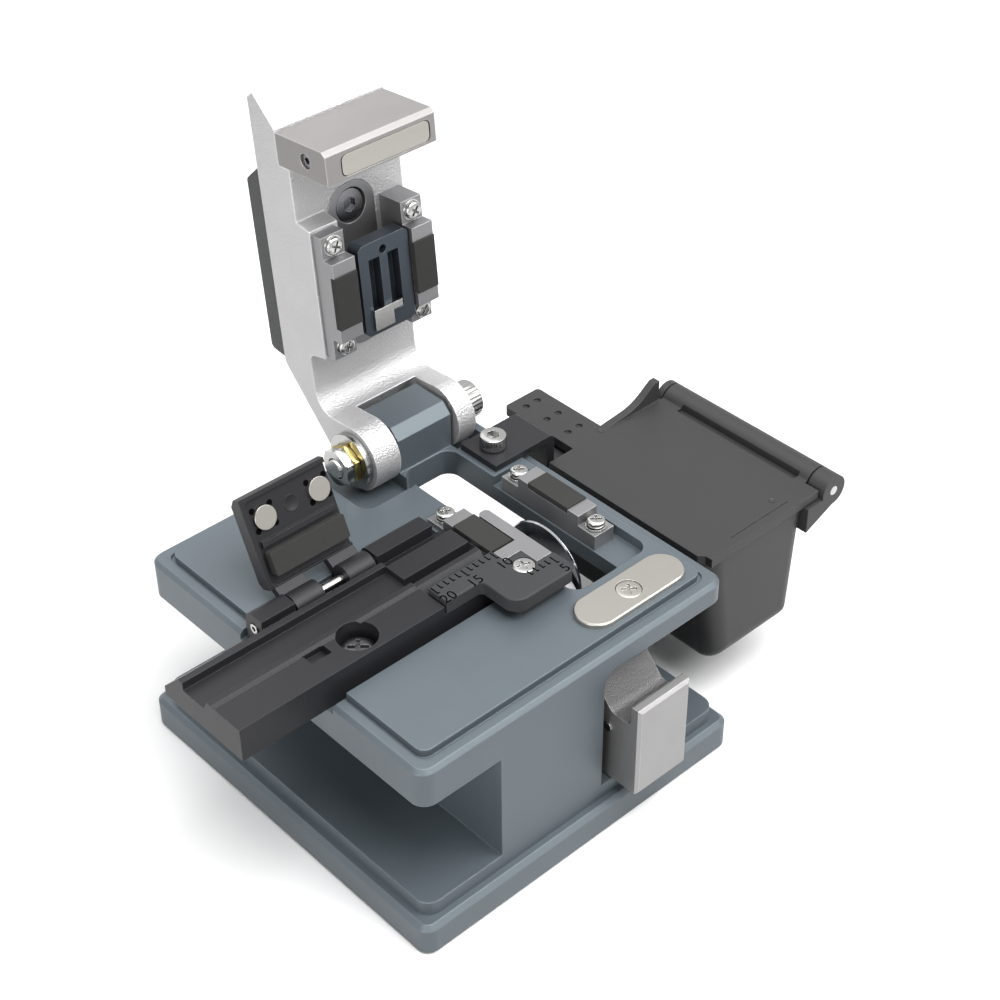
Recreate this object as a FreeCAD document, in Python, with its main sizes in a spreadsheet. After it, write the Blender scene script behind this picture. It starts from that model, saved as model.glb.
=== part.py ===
"""Fibre cleaver: a bench tool that cuts the end of a glass fibre square.

X runs along the fibre towards the scrap bin, Y towards the hinge of the arm
and Z up. The origin is the centre of the mat under the base.
"""
import FreeCAD, Part
import math
import os

import Sketcher
from FreeCAD import Placement, Rotation, Vector

SIZES = {
    # Base plate, its rubber mat and the running fits of the whole tool.
    "base_length": 55.0,
    "base_depth": 57.7,
    "base_height": 4.8,
    "base_corner": 1.8,
    "base_edge": 0.67,
    "mat_thick": 1.2,
    "mat_stand": 0.4,
    "mat_inset": 4.0,
    "mat_round": 3.0,
    "base_screw_y": 16.0,
    "base_screw_radius": 2.6,
    "base_screw_head": 1.6,
    "base_screw_shank": 1.45,
    "base_screw_bite": 7.0,
    "running_fit": 0.05,
    "air_gap": 0.3,
    # Machined body: a floor, a column and the deck above it.
    "tier_inset": 1.5,
    "tier_height": 2.2,
    "body_corner": 2.1,
    "column_left": 13.5,
    "column_right": 4.0,
    "gap_left_top": 24.0,
    "gap_right_top": 26.5,
    "gap_round": 2.2,
    "deck_top": 30.5,
    "rim_width": 2.2,
    "rim_drop": 0.8,
    "rim_edge": 0.55,
    "rim_round": 1.4,
    "groove_width": 0.4,
    "groove_depth": 0.3,
    "deck_bore_floor": 27.2,
    # Opening in the deck through which the blade reaches.
    "pocket_left": 9.0,
    "pocket_right": 18.0,
    "pocket_front": 17.0,
    "pocket_rear": 17.4,
    "pocket_round": 2.0,
    "ledge_right": 22.6,
    "ledge_floor": 28.9,
    "ledge_front": 16.9,
    "ledge_rear": 8.2,
    # Slot in the deck that takes the fibre holder.
    "slot_floor": 28.3,
    "slot_front": 11.1,
    "slot_rear": 7.3,
    "slot_end": 4.3,
    "recess_left": 0.2,
    "recess_right": 23.6,
    "recess_front": 14.1,
    "recess_round": 0.6,
    # Hinge of the arm.
    "hinge_y": 21.4,
    "hinge_rise": 0.3,
    "open_angle": 95.0,
    "shaft_radius": 1.5,
    "boss_radius": 4.8,
    "hinge_left": 9.1,
    "hinge_right": 18.6,
    "hinge_front": 17.6,
    "hinge_rear": 24.9,
    "hinge_top": 37.3,
    "hinge_bevel": 1.5,
    "washer_radius": 4.0,
    "washer_thick": 0.45,
    "bush_radius": 3.0,
    "bush_thick": 0.9,
    "nut_radius": 2.9,
    "nut_thick": 1.4,
    "cap_radius": 2.8,
    "cap_height": 3.0,
    "cap_socket": 1.5,
    # Arm, seen closed: ahead of its hinge and above it.
    "arm_left": 4.5,
    "arm_right": 22.4,
    "arm_back": 13.9,
    "heel_back": 4.0,
    "heel_back_up": 2.65,
    "heel_front": 4.75,
    "heel_front_up": 0.4,
    "heel_round": 3.2,
    "fork_radius": 6.2,
    "arm_nose": 5.72,
    "arm_lip": 7.02,
    "arm_lip_drop": 1.75,
    "arm_chin_ahead": 2.92,
    "arm_chin": 8.4,
    "arm_belly": 6.3,
    "arm_rail": 3.7,
    "rail_start": 14.2,
    "rail_stop": 33.0,
    "rail_width": 4.6,
    "fork_depth": 11.4,
    "arch_top": 7.2,
    "arch_round": 1.2,
    "arm_screw_bite": 2.5,
    "leg_left_inner": 8.7,
    "leg_right_inner": 19.3,
    "arm_edge": 0.5,
    "grip_start": 10.3,
    "grip_stop": 39.0,
    "grip_height": 3.2,
    "grip_lean": 2.6,
    "grip_side": 0.6,
    # Magnet block across the arm's end and its bar.
    "block_behind": 1.88,
    "block_ahead": 2.62,
    "block_low": 1.7,
    "block_edge": 0.6,
    "bar_width": 3.0,
    "bar_left": 7.0,
    "bar_right": 21.4,
    "bar_depth": 2.4,
    "bar_round": 0.8,
    "block_screw_ahead": 0.37,
    "block_screw_height": 2.46,
    "block_screw_radius": 1.0,
    # Clamping pads of the arm and of the deck.
    "clamp_rise": 2.5,
    "clamp_gap": 0.05,
    "rubber_thick": 0.9,
    "end_drop": 0.2,
    "step_drop": 1.8,
    "arm_step_drop": 2.1,
    "left_pad_start": 4.75,
    "left_pad_stop": 8.45,
    "right_pad_start": 18.2,
    "right_pad_stop": 21.7,
    "pad_front": 6.0,
    "pad_rear": 1.6,
    "pad_end": 2.0,
    "pad_step": 3.2,
    "pad_screw_radius": 1.25,
    "small_shank": 0.62,
    "pad_screw_head": 0.8,
    "spring_washer": 0.45,
    # Stop plate for the magnet.
    "striker_left": 8.24,
    "striker_right": 20.03,
    "striker_y": 21.48,
    "striker_radius": 2.95,
    "striker_thick": 0.7,
    "striker_edge": 0.15,
    "striker_screw": 14.0,
    "flat_head_radius": 1.7,
    "flat_head_depth": 0.6,
    # Slider, its rail and the blade.
    "slide_front": 31.9,
    "slide_left": 5.85,
    "slide_right": 15.1,
    "slide_low": 7.3,
    "slide_lip": 22.0,
    "slide_wall": 1.5,
    "slide_top": 26.2,
    "slide_block_rear": 16.5,
    "slide_tail": 3.0,
    "slide_beam": 15.5,
    "scoop_depth": 3.2,
    "scoop_round": 1.6,
    "scoop_width": 3.4,
    "scoop_flat": 4.0,
    "slide_edge": 0.4,
    "pin_stand": 0.2,
    "pin_behind": 5.5,
    "pin_height": 16.0,
    "pin_radius": 0.7,
    "rail_thick": 1.5,
    "rail_low": 15.0,
    "rail_high": 21.0,
    "rail_front": 24.5,
    "rail_rear": 24.5,
    "runner_right": 9.9,
    "runner_front": 16.2,
    "runner_rear": 2.8,
    "runner_wall": 2.6,
    "blade_x": 13.5,
    "blade_y": 6.7,
    "blade_z": 25.9,
    "blade_radius": 7.0,
    "blade_thick": 0.4,
    "blade_bevel": 0.18,
    "hub_radius": 2.3,
    "hub_thick": 0.8,
    "axle_radius": 1.0,
    "axle_head_radius": 1.9,
    "axle_socket": 0.7,
    "axle_head_thick": 0.7,
    "holder_left": 10.0,
    "holder_right": 12.9,
    "holder_front": 8.2,
    "holder_rear": 6.8,
    "holder_top": 28.3,
    "holder_wedge": 3.4,
    # Fibre holder with its lid.
    "tray_left": 38.6,
    "tray_right": 6.9,
    "tray_tongue": 4.15,
    "tray_front": 9.95,
    "tray_rear": 5.57,
    "tray_top": 33.3,
    "tray_groove": 32.9,
    "channel_floor": 31.85,
    "channel_front": 2.83,
    "channel_rear": 1.38,
    "ridge_front": 4.35,
    "ridge_rear": 3.54,
    "tray_rim": 33.05,
    "tray_rim_width": 0.9,
    "tray_slope": 3.3,
    "tongue_top": 32.1,
    "trench_floor": 31.2,
    "trench_rear": 2.1,
    "step_left": 25.4,
    "step_right": 22.3,
    "step_front": 6.8,
    "step_rear": 4.7,
    "notch_front": 3.5,
    "notch_rear": 1.9,
    "step_depth": 1.2,
    "tray_screw_x": 18.2,
    "tray_screw_y": 6.6,
    "tray_bore": 2.7,
    "tray_bore_depth": 3.0,
    "tray_screw_radius": 2.2,
    "lid_pin_y": 4.9,
    "lid_pin_z": 31.3,
    "lid_pin_radius": 0.7,
    "knuckle_radius": 1.9,
    "lid_left": 20.5,
    "lid_right": 7.0,
    "lid_reach": 15.0,
    "lid_thick": 2.2,
    "lid_seat": 2.15,
    "lid_open_angle": 114.0,
    "lid_hollow": 0.5,
    "lid_corner": 0.6,
    "lid_bevel": 1.0,
    "lid_heel": 0.7,
    "lid_ridge": 0.8,
    "knuckle_outer_left": 19.7,
    "knuckle_inner_left": 15.3,
    "knuckle_inner_right": 11.3,
    "knuckle_outer_right": 7.0,
    "lug_left_start": 25.3,
    "lug_right_stop": 2.6,
    "lug_front": 3.3,
    "lug_rear": 6.7,
    "lug_round": 1.4,
    "magnet_reach": 11.4,
    "magnet_radius": 1.6,
    "magnet_left": 17.5,
    "magnet_right": 8.9,
    "magnet_depth": 1.2,
    "lid_pad_left": 19.2,
    "lid_pad_right": 7.4,
    "lid_pad_near": 4.0,
    "lid_pad_far": 7.3,
    "lid_pad_thick": 0.9,
    # Engraved plate on the holder and the guide beside the left pad.
    "plate_top": 34.1,
    "plate_screw_x": 5.2,
    "plate_screw_y": 11.4,
    "plate_left": 6.6,
    "plate_right": 9.8,
    "plate_front": 16.3,
    "plate_back": 6.5,
    "plate_shoulder": 10.1,
    "plate_waist": 0.8,
    "cut_left": 4.0,
    "cut_front": 9.1,
    "cut_inner": 7.0,
    "cut_low": 12.1,
    "plate_round": 0.7,
    "plate_edge": 0.9,
    "plate_screw_head": 1.5,
    "guide_left": 4.9,
    "guide_stem": 7.8,
    "guide_tongue": 8.7,
    "guide_right": 10.4,
    "guide_front": 11.1,
    "guide_bar_front": 8.1,
    "guide_bar_rear": 6.05,
    "guide_end": 1.3,
    "guide_round": 0.7,
    # Anvil that bends the fibre, and the screws round it.
    "anvil_left": 9.4,
    "anvil_right": 17.9,
    "anvil_behind": 8.1,
    "anvil_ahead": 5.3,
    "anvil_low": 0.5,
    "anvil_thick": 2.2,
    "anvil_round": 1.0,
    "anvil_travel": 0.8,
    "stem_x": 13.5,
    "stem_reach": 24.5,
    "stem_radius": 1.6,
    "stem_top": 12.2,
    "slit_width": 1.9,
    "slit_length": 8.6,
    "slit_offset": 1.6,
    "slit_floor": 0.6,
    "anvil_eye": 0.6,
    "anvil_eye_inset": 1.6,
    "tip_x": 12.3,
    "tip_width": 3.2,
    "tip_thick": 0.5,
    "tip_behind": 7.3,
    "tip_length": 3.0,
    "insert_left": 9.6,
    "insert_right": 17.4,
    "insert_near": 12.2,
    "insert_far": 36.0,
    "insert_thick": 0.8,
    "insert_round": 3.6,
    "socket_x": 13.5,
    "socket_reach": 32.7,
    "socket_radius": 2.2,
    "socket_depth": 1.4,
    # Scrap bin, its lid and the bracket that carries it.
    "bin_left": 0.5,
    "bin_right": 21.0,
    "bin_front": 22.5,
    "bin_rear": 8.4,
    "bin_top": 26.9,
    "bin_low": 7.5,
    "bin_taper_left": 3.0,
    "bin_taper_right": 1.2,
    "bin_round": 3.0,
    "bin_wall": 1.2,
    "bin_lid_left": 0.1,
    "bin_lid_right": 23.1,
    "bin_lid_top": 28.5,
    "bin_lid_thick": 1.4,
    "bin_hinge_x": 25.1,
    "bin_hinge_z": 27.5,
    "bin_knuckle": 2.3,
    "bin_ear": 2.0,
    "bin_ear_reach": 4.0,
    "bin_ear_lean": 1.6,
    "bin_lug": 6.0,
    "bin_notch": 1.6,
    "bin_pin_radius": 0.7,
    "trough_left": 22.1,
    "trough_right": 23.4,
    "trough_front": 18.6,
    "trough_rear": 3.5,
    "trough_depth": 0.6,
    "lip_left": 6.1,
    "lip_right": 17.5,
    "lip_inset": 1.0,
    "lip_width": 0.25,
    "lip_depth": 0.2,
    "finger_left": 4.8,
    "finger_right": 11.5,
    "finger_rear": 21.4,
    "dimple_radius": 0.55,
    "dimple_depth": 0.35,
    "fin_left": 10.8,
    "fin_right": 22.2,
    "fin_bend": 17.6,
    "fin_bend_height": 0.7,
    "fin_round": 8.0,
    "fin_thick": 1.2,
    "fin_height": 3.3,
    "fin_tip": 0.9,
    "bracket_left": 8.6,
    "bracket_right": 2.5,
    "bracket_front": 8.7,
    "bracket_rear": 15.9,
    "bracket_thick": 1.0,
    "bracket_leg": 1.4,
    "bracket_low": 19.5,
    "bracket_screw_x": 5.7,
    "bracket_screw_y": 12.4,
    "bracket_screw_radius": 1.9,
    "bracket_screw_shank": 0.95,
    "bracket_screw_head": 2.0,
}

doc = FreeCAD.newDocument("fibre_cleaver")
sheet = doc.addObject("Spreadsheet::Sheet", "Sizes")
for row, (alias, number) in enumerate(SIZES.items(), start=1):
    sheet.set(f"A{row}", alias)
    sheet.set(f"B{row}", str(number))
    sheet.setAlias(f"B{row}", alias)
doc.recompute()


class Measure:
    """A length that knows its number and the sheet formula behind it."""

    def __init__(self, number, formula):
        self.number = float(number)
        self.formula = formula

    @staticmethod
    def of(other):
        """Return other as a Measure, also when it is a bare number."""
        if isinstance(other, Measure):
            return other
        return Measure(other, repr(float(other)))

    def __add__(self, other):
        other = Measure.of(other)
        return Measure(self.number + other.number, f"({self.formula} + {other.formula})")

    def __radd__(self, other):
        return Measure.of(other) + self

    def __sub__(self, other):
        other = Measure.of(other)
        return Measure(self.number - other.number, f"({self.formula} - {other.formula})")

    def __rsub__(self, other):
        return Measure.of(other) - self

    def __mul__(self, factor):
        return Measure(self.number * factor, f"({self.formula} * {factor})")

    def __rmul__(self, factor):
        return self * factor

    def __truediv__(self, divisor):
        return Measure(self.number / divisor, f"({self.formula} / {divisor})")

    def __neg__(self):
        return Measure(-self.number, f"(0 - {self.formula})")


class Sheet:
    """Hands out the sheet's cells as measures, by their alias."""

    def __getattr__(self, alias):
        return Measure(sheet.get(alias), f"Sizes.{alias}")


size = Sheet()
ZERO = Measure.of(0.0)


def bind(thing, path, measure):
    """Tie one property of an object to its formula in the sheet."""
    thing.setExpression(path, Measure.of(measure).formula)


def new_body(label):
    """Start a sub-part as a body of its own."""
    body = doc.addObject("PartDesign::Body", label)
    body.Label = label
    return body


def origin_plane(body, role):
    """Find one of the body's own origin planes."""
    for feature in body.Origin.OriginFeatures:
        if feature.Role == role:
            return feature
    raise ValueError(role)


def new_sketch(body, role, height=ZERO):
    """Lay an empty sketch on an origin plane, lifted along the plane's normal."""
    sketch = body.newObject("Sketcher::SketchObject", f"{body.Name}_sketch")
    sketch.AttachmentSupport = [(origin_plane(body, role), "")]
    sketch.MapMode = "FlatFace"
    bind(sketch, "AttachmentOffset.Base.z", height)
    return sketch


def pin_point(sketch, geometry, end, across, along):
    """Hold one point of the sketch at two measures from the sketch's origin."""
    for kind, measure in (("DistanceX", across), ("DistanceY", along)):
        measure = Measure.of(measure)
        place = sketch.addConstraint(
            Sketcher.Constraint(kind, -1, 1, geometry, end, measure.number))
        bind(sketch, f"Constraints[{place}]", measure)


def corner_arc(before, corner, after, radius):
    """Return the start, middle, end and centre of the arc that rounds a corner."""
    back = (before - corner).normalize()
    ahead = (after - corner).normalize()
    half = math.acos(max(-1.0, min(1.0, back.dot(ahead)))) / 2
    reach = radius / math.tan(half)
    inward = (back + ahead).normalize()
    centre = corner + inward * (radius / math.sin(half))
    return corner + back * reach, centre - inward * radius, corner + ahead * reach, centre


def draw_outline(sketch, corners):
    """Draw a closed outline; a corner is (across, along) or has a radius as third."""
    spots = [Vector(Measure.of(c[0]).number, Measure.of(c[1]).number, 0) for c in corners]
    count = len(corners)
    starts, ends, arcs = [], [], {}
    for index in range(count):
        starts.append(spots[index])
        ends.append(spots[index])
        if len(corners[index]) == 3:
            radius = Measure.of(corners[index][2])
            arc = corner_arc(spots[index - 1], spots[index], spots[(index + 1) % count],
                             radius.number)
            ends[index], starts[index] = arc[0], arc[2]
            arcs[index] = (arc, radius)
    lines = []
    for index in range(count):
        segment = Part.LineSegment(starts[index], ends[(index + 1) % count])
        lines.append(sketch.addGeometry(segment, False))
    for index in range(count):
        line_in, line_out = lines[index - 1], lines[index]
        if index not in arcs:
            sketch.addConstraint(Sketcher.Constraint("Coincident", line_in, 2, line_out, 1))
            pin_point(sketch, line_out, 1, corners[index][0], corners[index][1])
            continue
        (first, middle, last, centre), radius = arcs[index]
        bend = Part.Arc(first, middle, last)
        arc = sketch.addGeometry(bend, False)
        turned = (middle - first).cross(last - middle).z < 0
        near, far = (2, 1) if turned else (1, 2)
        sketch.addConstraint(Sketcher.Constraint("Tangent", line_in, 2, arc, near))
        sketch.addConstraint(Sketcher.Constraint("Tangent", arc, far, line_out, 1))
        place = sketch.addConstraint(Sketcher.Constraint("Radius", arc, radius.number))
        bind(sketch, f"Constraints[{place}]", radius)
        mark = sketch.addGeometry(Part.Point(spots[index]), True)
        sketch.addConstraint(Sketcher.Constraint("PointOnObject", mark, 1, line_in))
        sketch.addConstraint(Sketcher.Constraint("PointOnObject", mark, 1, line_out))
        pin_point(sketch, mark, 1, corners[index][0], corners[index][1])


def draw_circle(sketch, across, along, radius):
    """Draw a circle with its centre and radius tied to the sheet."""
    across, along, radius = Measure.of(across), Measure.of(along), Measure.of(radius)
    ring = Part.Circle(Vector(across.number, along.number, 0), Vector(0, 0, 1), radius.number)
    place = sketch.addGeometry(ring, False)
    pin_point(sketch, place, 3, across, along)
    spot = sketch.addConstraint(Sketcher.Constraint("Radius", place, radius.number))
    bind(sketch, f"Constraints[{spot}]", radius)


def extrude(body, kind, sketch, length):
    """Pad or pocket a sketch along its plane's normal, whichever kind is named."""
    feature = body.newObject(f"PartDesign::{kind}", f"{body.Name}_{kind.lower()}")
    feature.Profile = sketch
    bind(feature, "Length", length)
    feature.Reversed = kind == "Pocket"
    sketch.Visibility = False
    return feature


def add_outline(body, role, start, stop, corners):
    """Add the outline's prism between two heights on the plane's normal."""
    sketch = new_sketch(body, role, start)
    draw_outline(sketch, corners)
    return extrude(body, "Pad", sketch, stop - start)


def cut_outline(body, role, start, stop, corners):
    """Cut the outline's prism between two heights on the plane's normal."""
    sketch = new_sketch(body, role, start)
    draw_outline(sketch, corners)
    return extrude(body, "Pocket", sketch, stop - start)


def add_discs(body, role, start, stop, discs):
    """Add round posts, each (across, along, radius), between two heights."""
    sketch = new_sketch(body, role, start)
    for across, along, radius in discs:
        draw_circle(sketch, across, along, radius)
    return extrude(body, "Pad", sketch, stop - start)


def cut_discs(body, role, start, stop, discs):
    """Cut round holes, each (across, along, radius), between two heights."""
    sketch = new_sketch(body, role, start)
    for across, along, radius in discs:
        draw_circle(sketch, across, along, radius)
    return extrude(body, "Pocket", sketch, stop - start)


def rectangle(left, right, low, high, radius=None):
    """Corners of a rectangle, all rounded alike when a radius is given."""
    corners = [(left, low), (right, low), (right, high), (left, high)]
    if radius is None:
        return corners
    return [(across, along, radius) for across, along in corners]


def edges_where(body, test):
    """Names of the body's edges for which the test of their two ends holds."""
    doc.recompute()
    names = []
    for index, edge in enumerate(body.Shape.Edges, start=1):
        ends = [vertex.Point for vertex in edge.Vertexes]
        if test(edge, ends[0], ends[-1]):
            names.append(f"Edge{index}")
    return names


def dress(body, kind, names, measure):
    """Put a fillet or chamfer on the named edges."""
    feature = body.newObject(f"PartDesign::{kind}", f"{body.Name}_{kind.lower()}")
    feature.Base = (body.Group[-2], names)
    bind(feature, "Radius" if kind == "Fillet" else "Size", measure)
    return feature


def same(one, other):
    """Tell whether two lengths agree within a hair."""
    return abs(one - other) < 1e-4


def level_edges(body, height):
    """Edges that lie wholly at one height above the table."""
    return edges_where(body, lambda edge, a, b: same(a.z, height.number)
                       and same(b.z, height.number)
                       and same(edge.BoundBox.ZLength, 0.0))


pieces = []


def piece(label, grouped=False):
    """Start a sub-part that becomes a node, grouped when it holds several solids."""
    body = new_body(label)
    body.AllowCompound = grouped
    pieces.append(body)
    return body


def add_screws(body, role, spots, shank_low, head_low, head_high, shank, head, socket):
    """Add cap screws at the spots, each with a six-sided socket in its head."""
    add_discs(body, role, shank_low, head_low, [(a, b, shank) for a, b in spots])
    add_discs(body, role, head_low, head_high, [(a, b, head) for a, b in spots])
    sketch = new_sketch(body, role, head_high - (head_high - head_low) / 2)
    for across, along in spots:
        corners = []
        for turn in range(6):
            angle = math.radians(60 * turn)
            corners.append((across + socket * math.cos(angle), along + socket * math.sin(angle)))
        draw_outline(sketch, corners)
    extrude(body, "Pocket", sketch, (head_high - head_low) / 2 + size.air_gap)


CROSS_REACH = 0.62
CROSS_HALF = 0.14
CROSS_DEPTH = 0.7


def add_cross_screw(body, spot, shank_low, head_low, head_high, shank, head):
    """Add a flat screw with a crossed slot, its head flush with what it holds."""
    across, along = spot
    add_discs(body, "XY_Plane", shank_low, head_low, [(across, along, shank)])
    add_discs(body, "XY_Plane", head_low, head_high, [(across, along, head)])
    reach, half = head * CROSS_REACH, head * CROSS_HALF
    floor = head_high - (head_high - head_low) * CROSS_DEPTH
    cut_outline(body, "XY_Plane", floor, head_high + size.air_gap,
                [(across - reach, along - half), (across - half, along - half),
                 (across - half, along - reach), (across + half, along - reach),
                 (across + half, along - half), (across + reach, along - half),
                 (across + reach, along + half), (across + half, along + half),
                 (across + half, along + reach), (across - half, along + reach),
                 (across - half, along + half), (across - reach, along + half)])


body_side = size.base_length / 2 - size.tier_inset
body_end = size.base_depth / 2 - size.tier_inset
tier_top = size.base_height + size.tier_height
recess_radius = size.boss_radius + size.air_gap
clamp_height = size.deck_top + size.clamp_rise
hinge_z = clamp_height + size.hinge_rise
magnet_middle = size.hinge_y + size.striker_y
anvil_near = size.stem_reach - size.anvil_behind
anvil_far = size.stem_reach + size.anvil_ahead
block_back = magnet_middle - size.block_behind
block_front = magnet_middle + size.block_ahead
right_edge = size.base_length / 2
bin_left, bin_right = right_edge + size.bin_left, right_edge + size.bin_right
bin_hinge = (right_edge + size.bin_hinge_x, size.bin_hinge_z)
bracket_right = right_edge + size.bracket_right
bracket_spot = (right_edge - size.bracket_screw_x, size.bracket_screw_y)


def make_base():
    """Rubber mat, base plate and the two screws that hold the body from below."""
    mat_side = size.base_length / 2 - size.mat_inset
    mat_end = size.base_depth / 2 - size.mat_inset
    mat = piece("base_mat")
    add_outline(mat, "XY_Plane", ZERO, size.mat_thick,
                rectangle(-mat_side, mat_side, -mat_end, mat_end, size.mat_round))
    plate = piece("base_plate")
    add_outline(plate, "XY_Plane", size.mat_stand, size.base_height,
                rectangle(-size.base_length / 2, size.base_length / 2,
                          -size.base_depth / 2, size.base_depth / 2, size.base_corner))
    dress(plate, "Chamfer", level_edges(plate, size.base_height), size.base_edge)
    fit = size.running_fit
    cut_outline(plate, "XY_Plane", ZERO, size.mat_thick,
                rectangle(-mat_side - fit, mat_side + fit, -mat_end - fit, mat_end + fit,
                          size.mat_round))
    middle = (size.column_right - size.column_left) / 2
    rows = [(middle, side * size.base_screw_y) for side in (-1, 1)]
    head_low = size.mat_stand + size.air_gap
    head_top = head_low + size.base_screw_head
    cut_discs(mat, "XY_Plane", -size.air_gap, size.mat_thick + size.air_gap,
              [(x, y, size.base_screw_radius + size.air_gap) for x, y in rows])
    cut_discs(plate, "XY_Plane", ZERO, head_top,
              [(x, y, size.base_screw_radius + size.running_fit) for x, y in rows])
    cut_discs(plate, "XY_Plane", ZERO, size.base_height + size.air_gap,
              [(x, y, size.base_screw_shank + size.running_fit) for x, y in rows])
    screws = piece("base_screws", grouped=True)
    add_discs(screws, "XY_Plane", head_low, head_top,
              [(x, y, size.base_screw_radius) for x, y in rows])
    add_discs(screws, "XY_Plane", head_top, size.base_height + size.base_screw_bite,
              [(x, y, size.base_screw_shank) for x, y in rows])
    return rows


def make_body_frame(screw_rows):
    """One machined body: the floor, the column, the deck and the hinge block."""
    frame = piece("body_frame")
    side, end = body_side, body_end
    add_outline(frame, "XZ_Plane", -end, end, [
        (-side, size.base_height), (side, size.base_height), (side, tier_top),
        (size.column_right, tier_top),
        (size.column_right, size.gap_right_top, size.gap_round),
        (side, size.gap_right_top), (side, size.deck_top), (-side, size.deck_top),
        (-side, size.gap_left_top), (-size.column_left, size.gap_left_top),
        (-size.column_left, tier_top), (-side, tier_top)])
    corners = edges_where(frame, lambda edge, a, b: same(a.x, b.x) and same(a.y, b.y)
                          and same(abs(a.x), side.number) and same(abs(a.y), end.number))
    dress(frame, "Fillet", corners, size.body_corner)
    rim_low = size.deck_top - size.rim_drop
    for low, inner, outer in ((rim_low, size.rim_width, -size.rim_width),
                              (rim_low - size.groove_depth, size.rim_width,
                               size.rim_width - size.groove_width)):
        ring = new_sketch(frame, "XY_Plane", low)
        for inset in (inner, outer):
            draw_outline(ring, rectangle(-side + inset, side - inset, -end + inset,
                                         end - inset, size.rim_round))
        extrude(frame, "Pocket", ring, size.rim_drop + size.groove_depth)
    brim = edges_where(frame, lambda edge, a, b: same(a.z, rim_low.number)
                       and same(b.z, rim_low.number)
                       and max(abs(a.x) - side.number, abs(a.y) - end.number)
                       > -0.5 * size.rim_width.number
                       and max(abs(b.x) - side.number, abs(b.y) - end.number)
                       > -0.5 * size.rim_width.number)
    dress(frame, "Chamfer", brim, size.rim_edge)
    over = size.deck_top + size.rim_drop
    cut_outline(frame, "XY_Plane", size.gap_right_top - size.rim_drop, over,
                rectangle(size.pocket_left, size.pocket_right, -size.pocket_front,
                          size.pocket_rear, size.pocket_round))
    cut_outline(frame, "XY_Plane", size.ledge_floor, over,
                rectangle(size.pocket_right - size.pocket_round * 2, size.ledge_right,
                          -size.ledge_front, size.ledge_rear, size.pocket_round))
    cut_outline(frame, "XY_Plane", size.slot_floor, over,
                [(-side - size.rim_width, -size.slot_front), (size.slot_end, -size.slot_front),
                 (size.slot_end, size.slot_rear), (-side - size.rim_width, size.slot_rear)])
    recess_floor = hinge_z - recess_radius
    cut_outline(frame, "XY_Plane", recess_floor, over,
                [(size.recess_left, size.recess_front, size.pocket_round),
                 (size.hinge_left, size.recess_front, size.recess_round),
                 (size.hinge_left, end + size.rim_width),
                 (size.recess_left, end + size.rim_width)])
    cut_outline(frame, "XY_Plane", recess_floor, over,
                rectangle(size.hinge_right, size.recess_right,
                          size.hinge_y - recess_radius, end + size.rim_width))
    add_outline(frame, "YZ_Plane", size.hinge_left, size.hinge_right,
                [(size.hinge_front, recess_floor), (size.hinge_rear, recess_floor),
                 (size.hinge_rear, size.hinge_top),
                 (size.hinge_front + size.hinge_bevel, size.hinge_top),
                 (size.hinge_front, size.hinge_top - size.hinge_bevel)])
    cut_discs(frame, "YZ_Plane", size.hinge_left - size.rim_drop,
              size.hinge_right + size.rim_drop,
              [(size.hinge_y, hinge_z, size.shaft_radius + size.running_fit)])
    cut_discs(frame, "XY_Plane", ZERO, size.base_height + size.base_screw_bite + size.air_gap,
              [(x, y, size.base_screw_shank + size.running_fit) for x, y in screw_rows])
    bores = [(x, y, size.small_shank + size.running_fit) for x, y in deck_screw_spots()]
    bores.append((*bracket_spot, size.bracket_screw_shank + size.running_fit))
    cut_discs(frame, "XY_Plane", size.deck_bore_floor, over, bores)
    return frame


def deck_screw_spots():
    """Places of the small screws that go down into the deck."""
    left = (size.left_pad_start + size.left_pad_stop) / 2
    right = (size.right_pad_start + size.right_pad_stop) / 2
    step = size.pad_end + size.pad_step / 2
    return [(size.striker_screw, -size.striker_y), (left, size.pad_rear + step),
            (right, size.pad_rear + step), (right, -size.pad_front - step),
            (size.plate_screw_x, -size.plate_screw_y)]


def make_striker():
    """Stop plate on the deck that the arm's magnet meets, and its flush screw."""
    plate = piece("striker_plate")
    low, high = size.deck_top, size.deck_top + size.striker_thick
    add_outline(plate, "XY_Plane", low, high,
                rectangle(size.striker_left, size.striker_right,
                          -size.striker_y - size.striker_radius,
                          -size.striker_y + size.striker_radius))
    add_discs(plate, "XY_Plane", low, high,
              [(size.striker_left, -size.striker_y, size.striker_radius),
               (size.striker_right, -size.striker_y, size.striker_radius)])
    dress(plate, "Chamfer", level_edges(plate, high), size.striker_edge)
    spot = (size.striker_screw, -size.striker_y)
    head_low = high - size.flat_head_depth
    cut_discs(plate, "XY_Plane", head_low, high + size.air_gap,
              [(*spot, size.flat_head_radius + size.running_fit)])
    cut_discs(plate, "XY_Plane", low - size.air_gap, high,
              [(*spot, size.small_shank + size.running_fit)])
    screw = piece("striker_screw")
    add_cross_screw(screw, spot, size.deck_bore_floor + size.air_gap, head_low, high,
                    size.small_shank, size.flat_head_radius)


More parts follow.
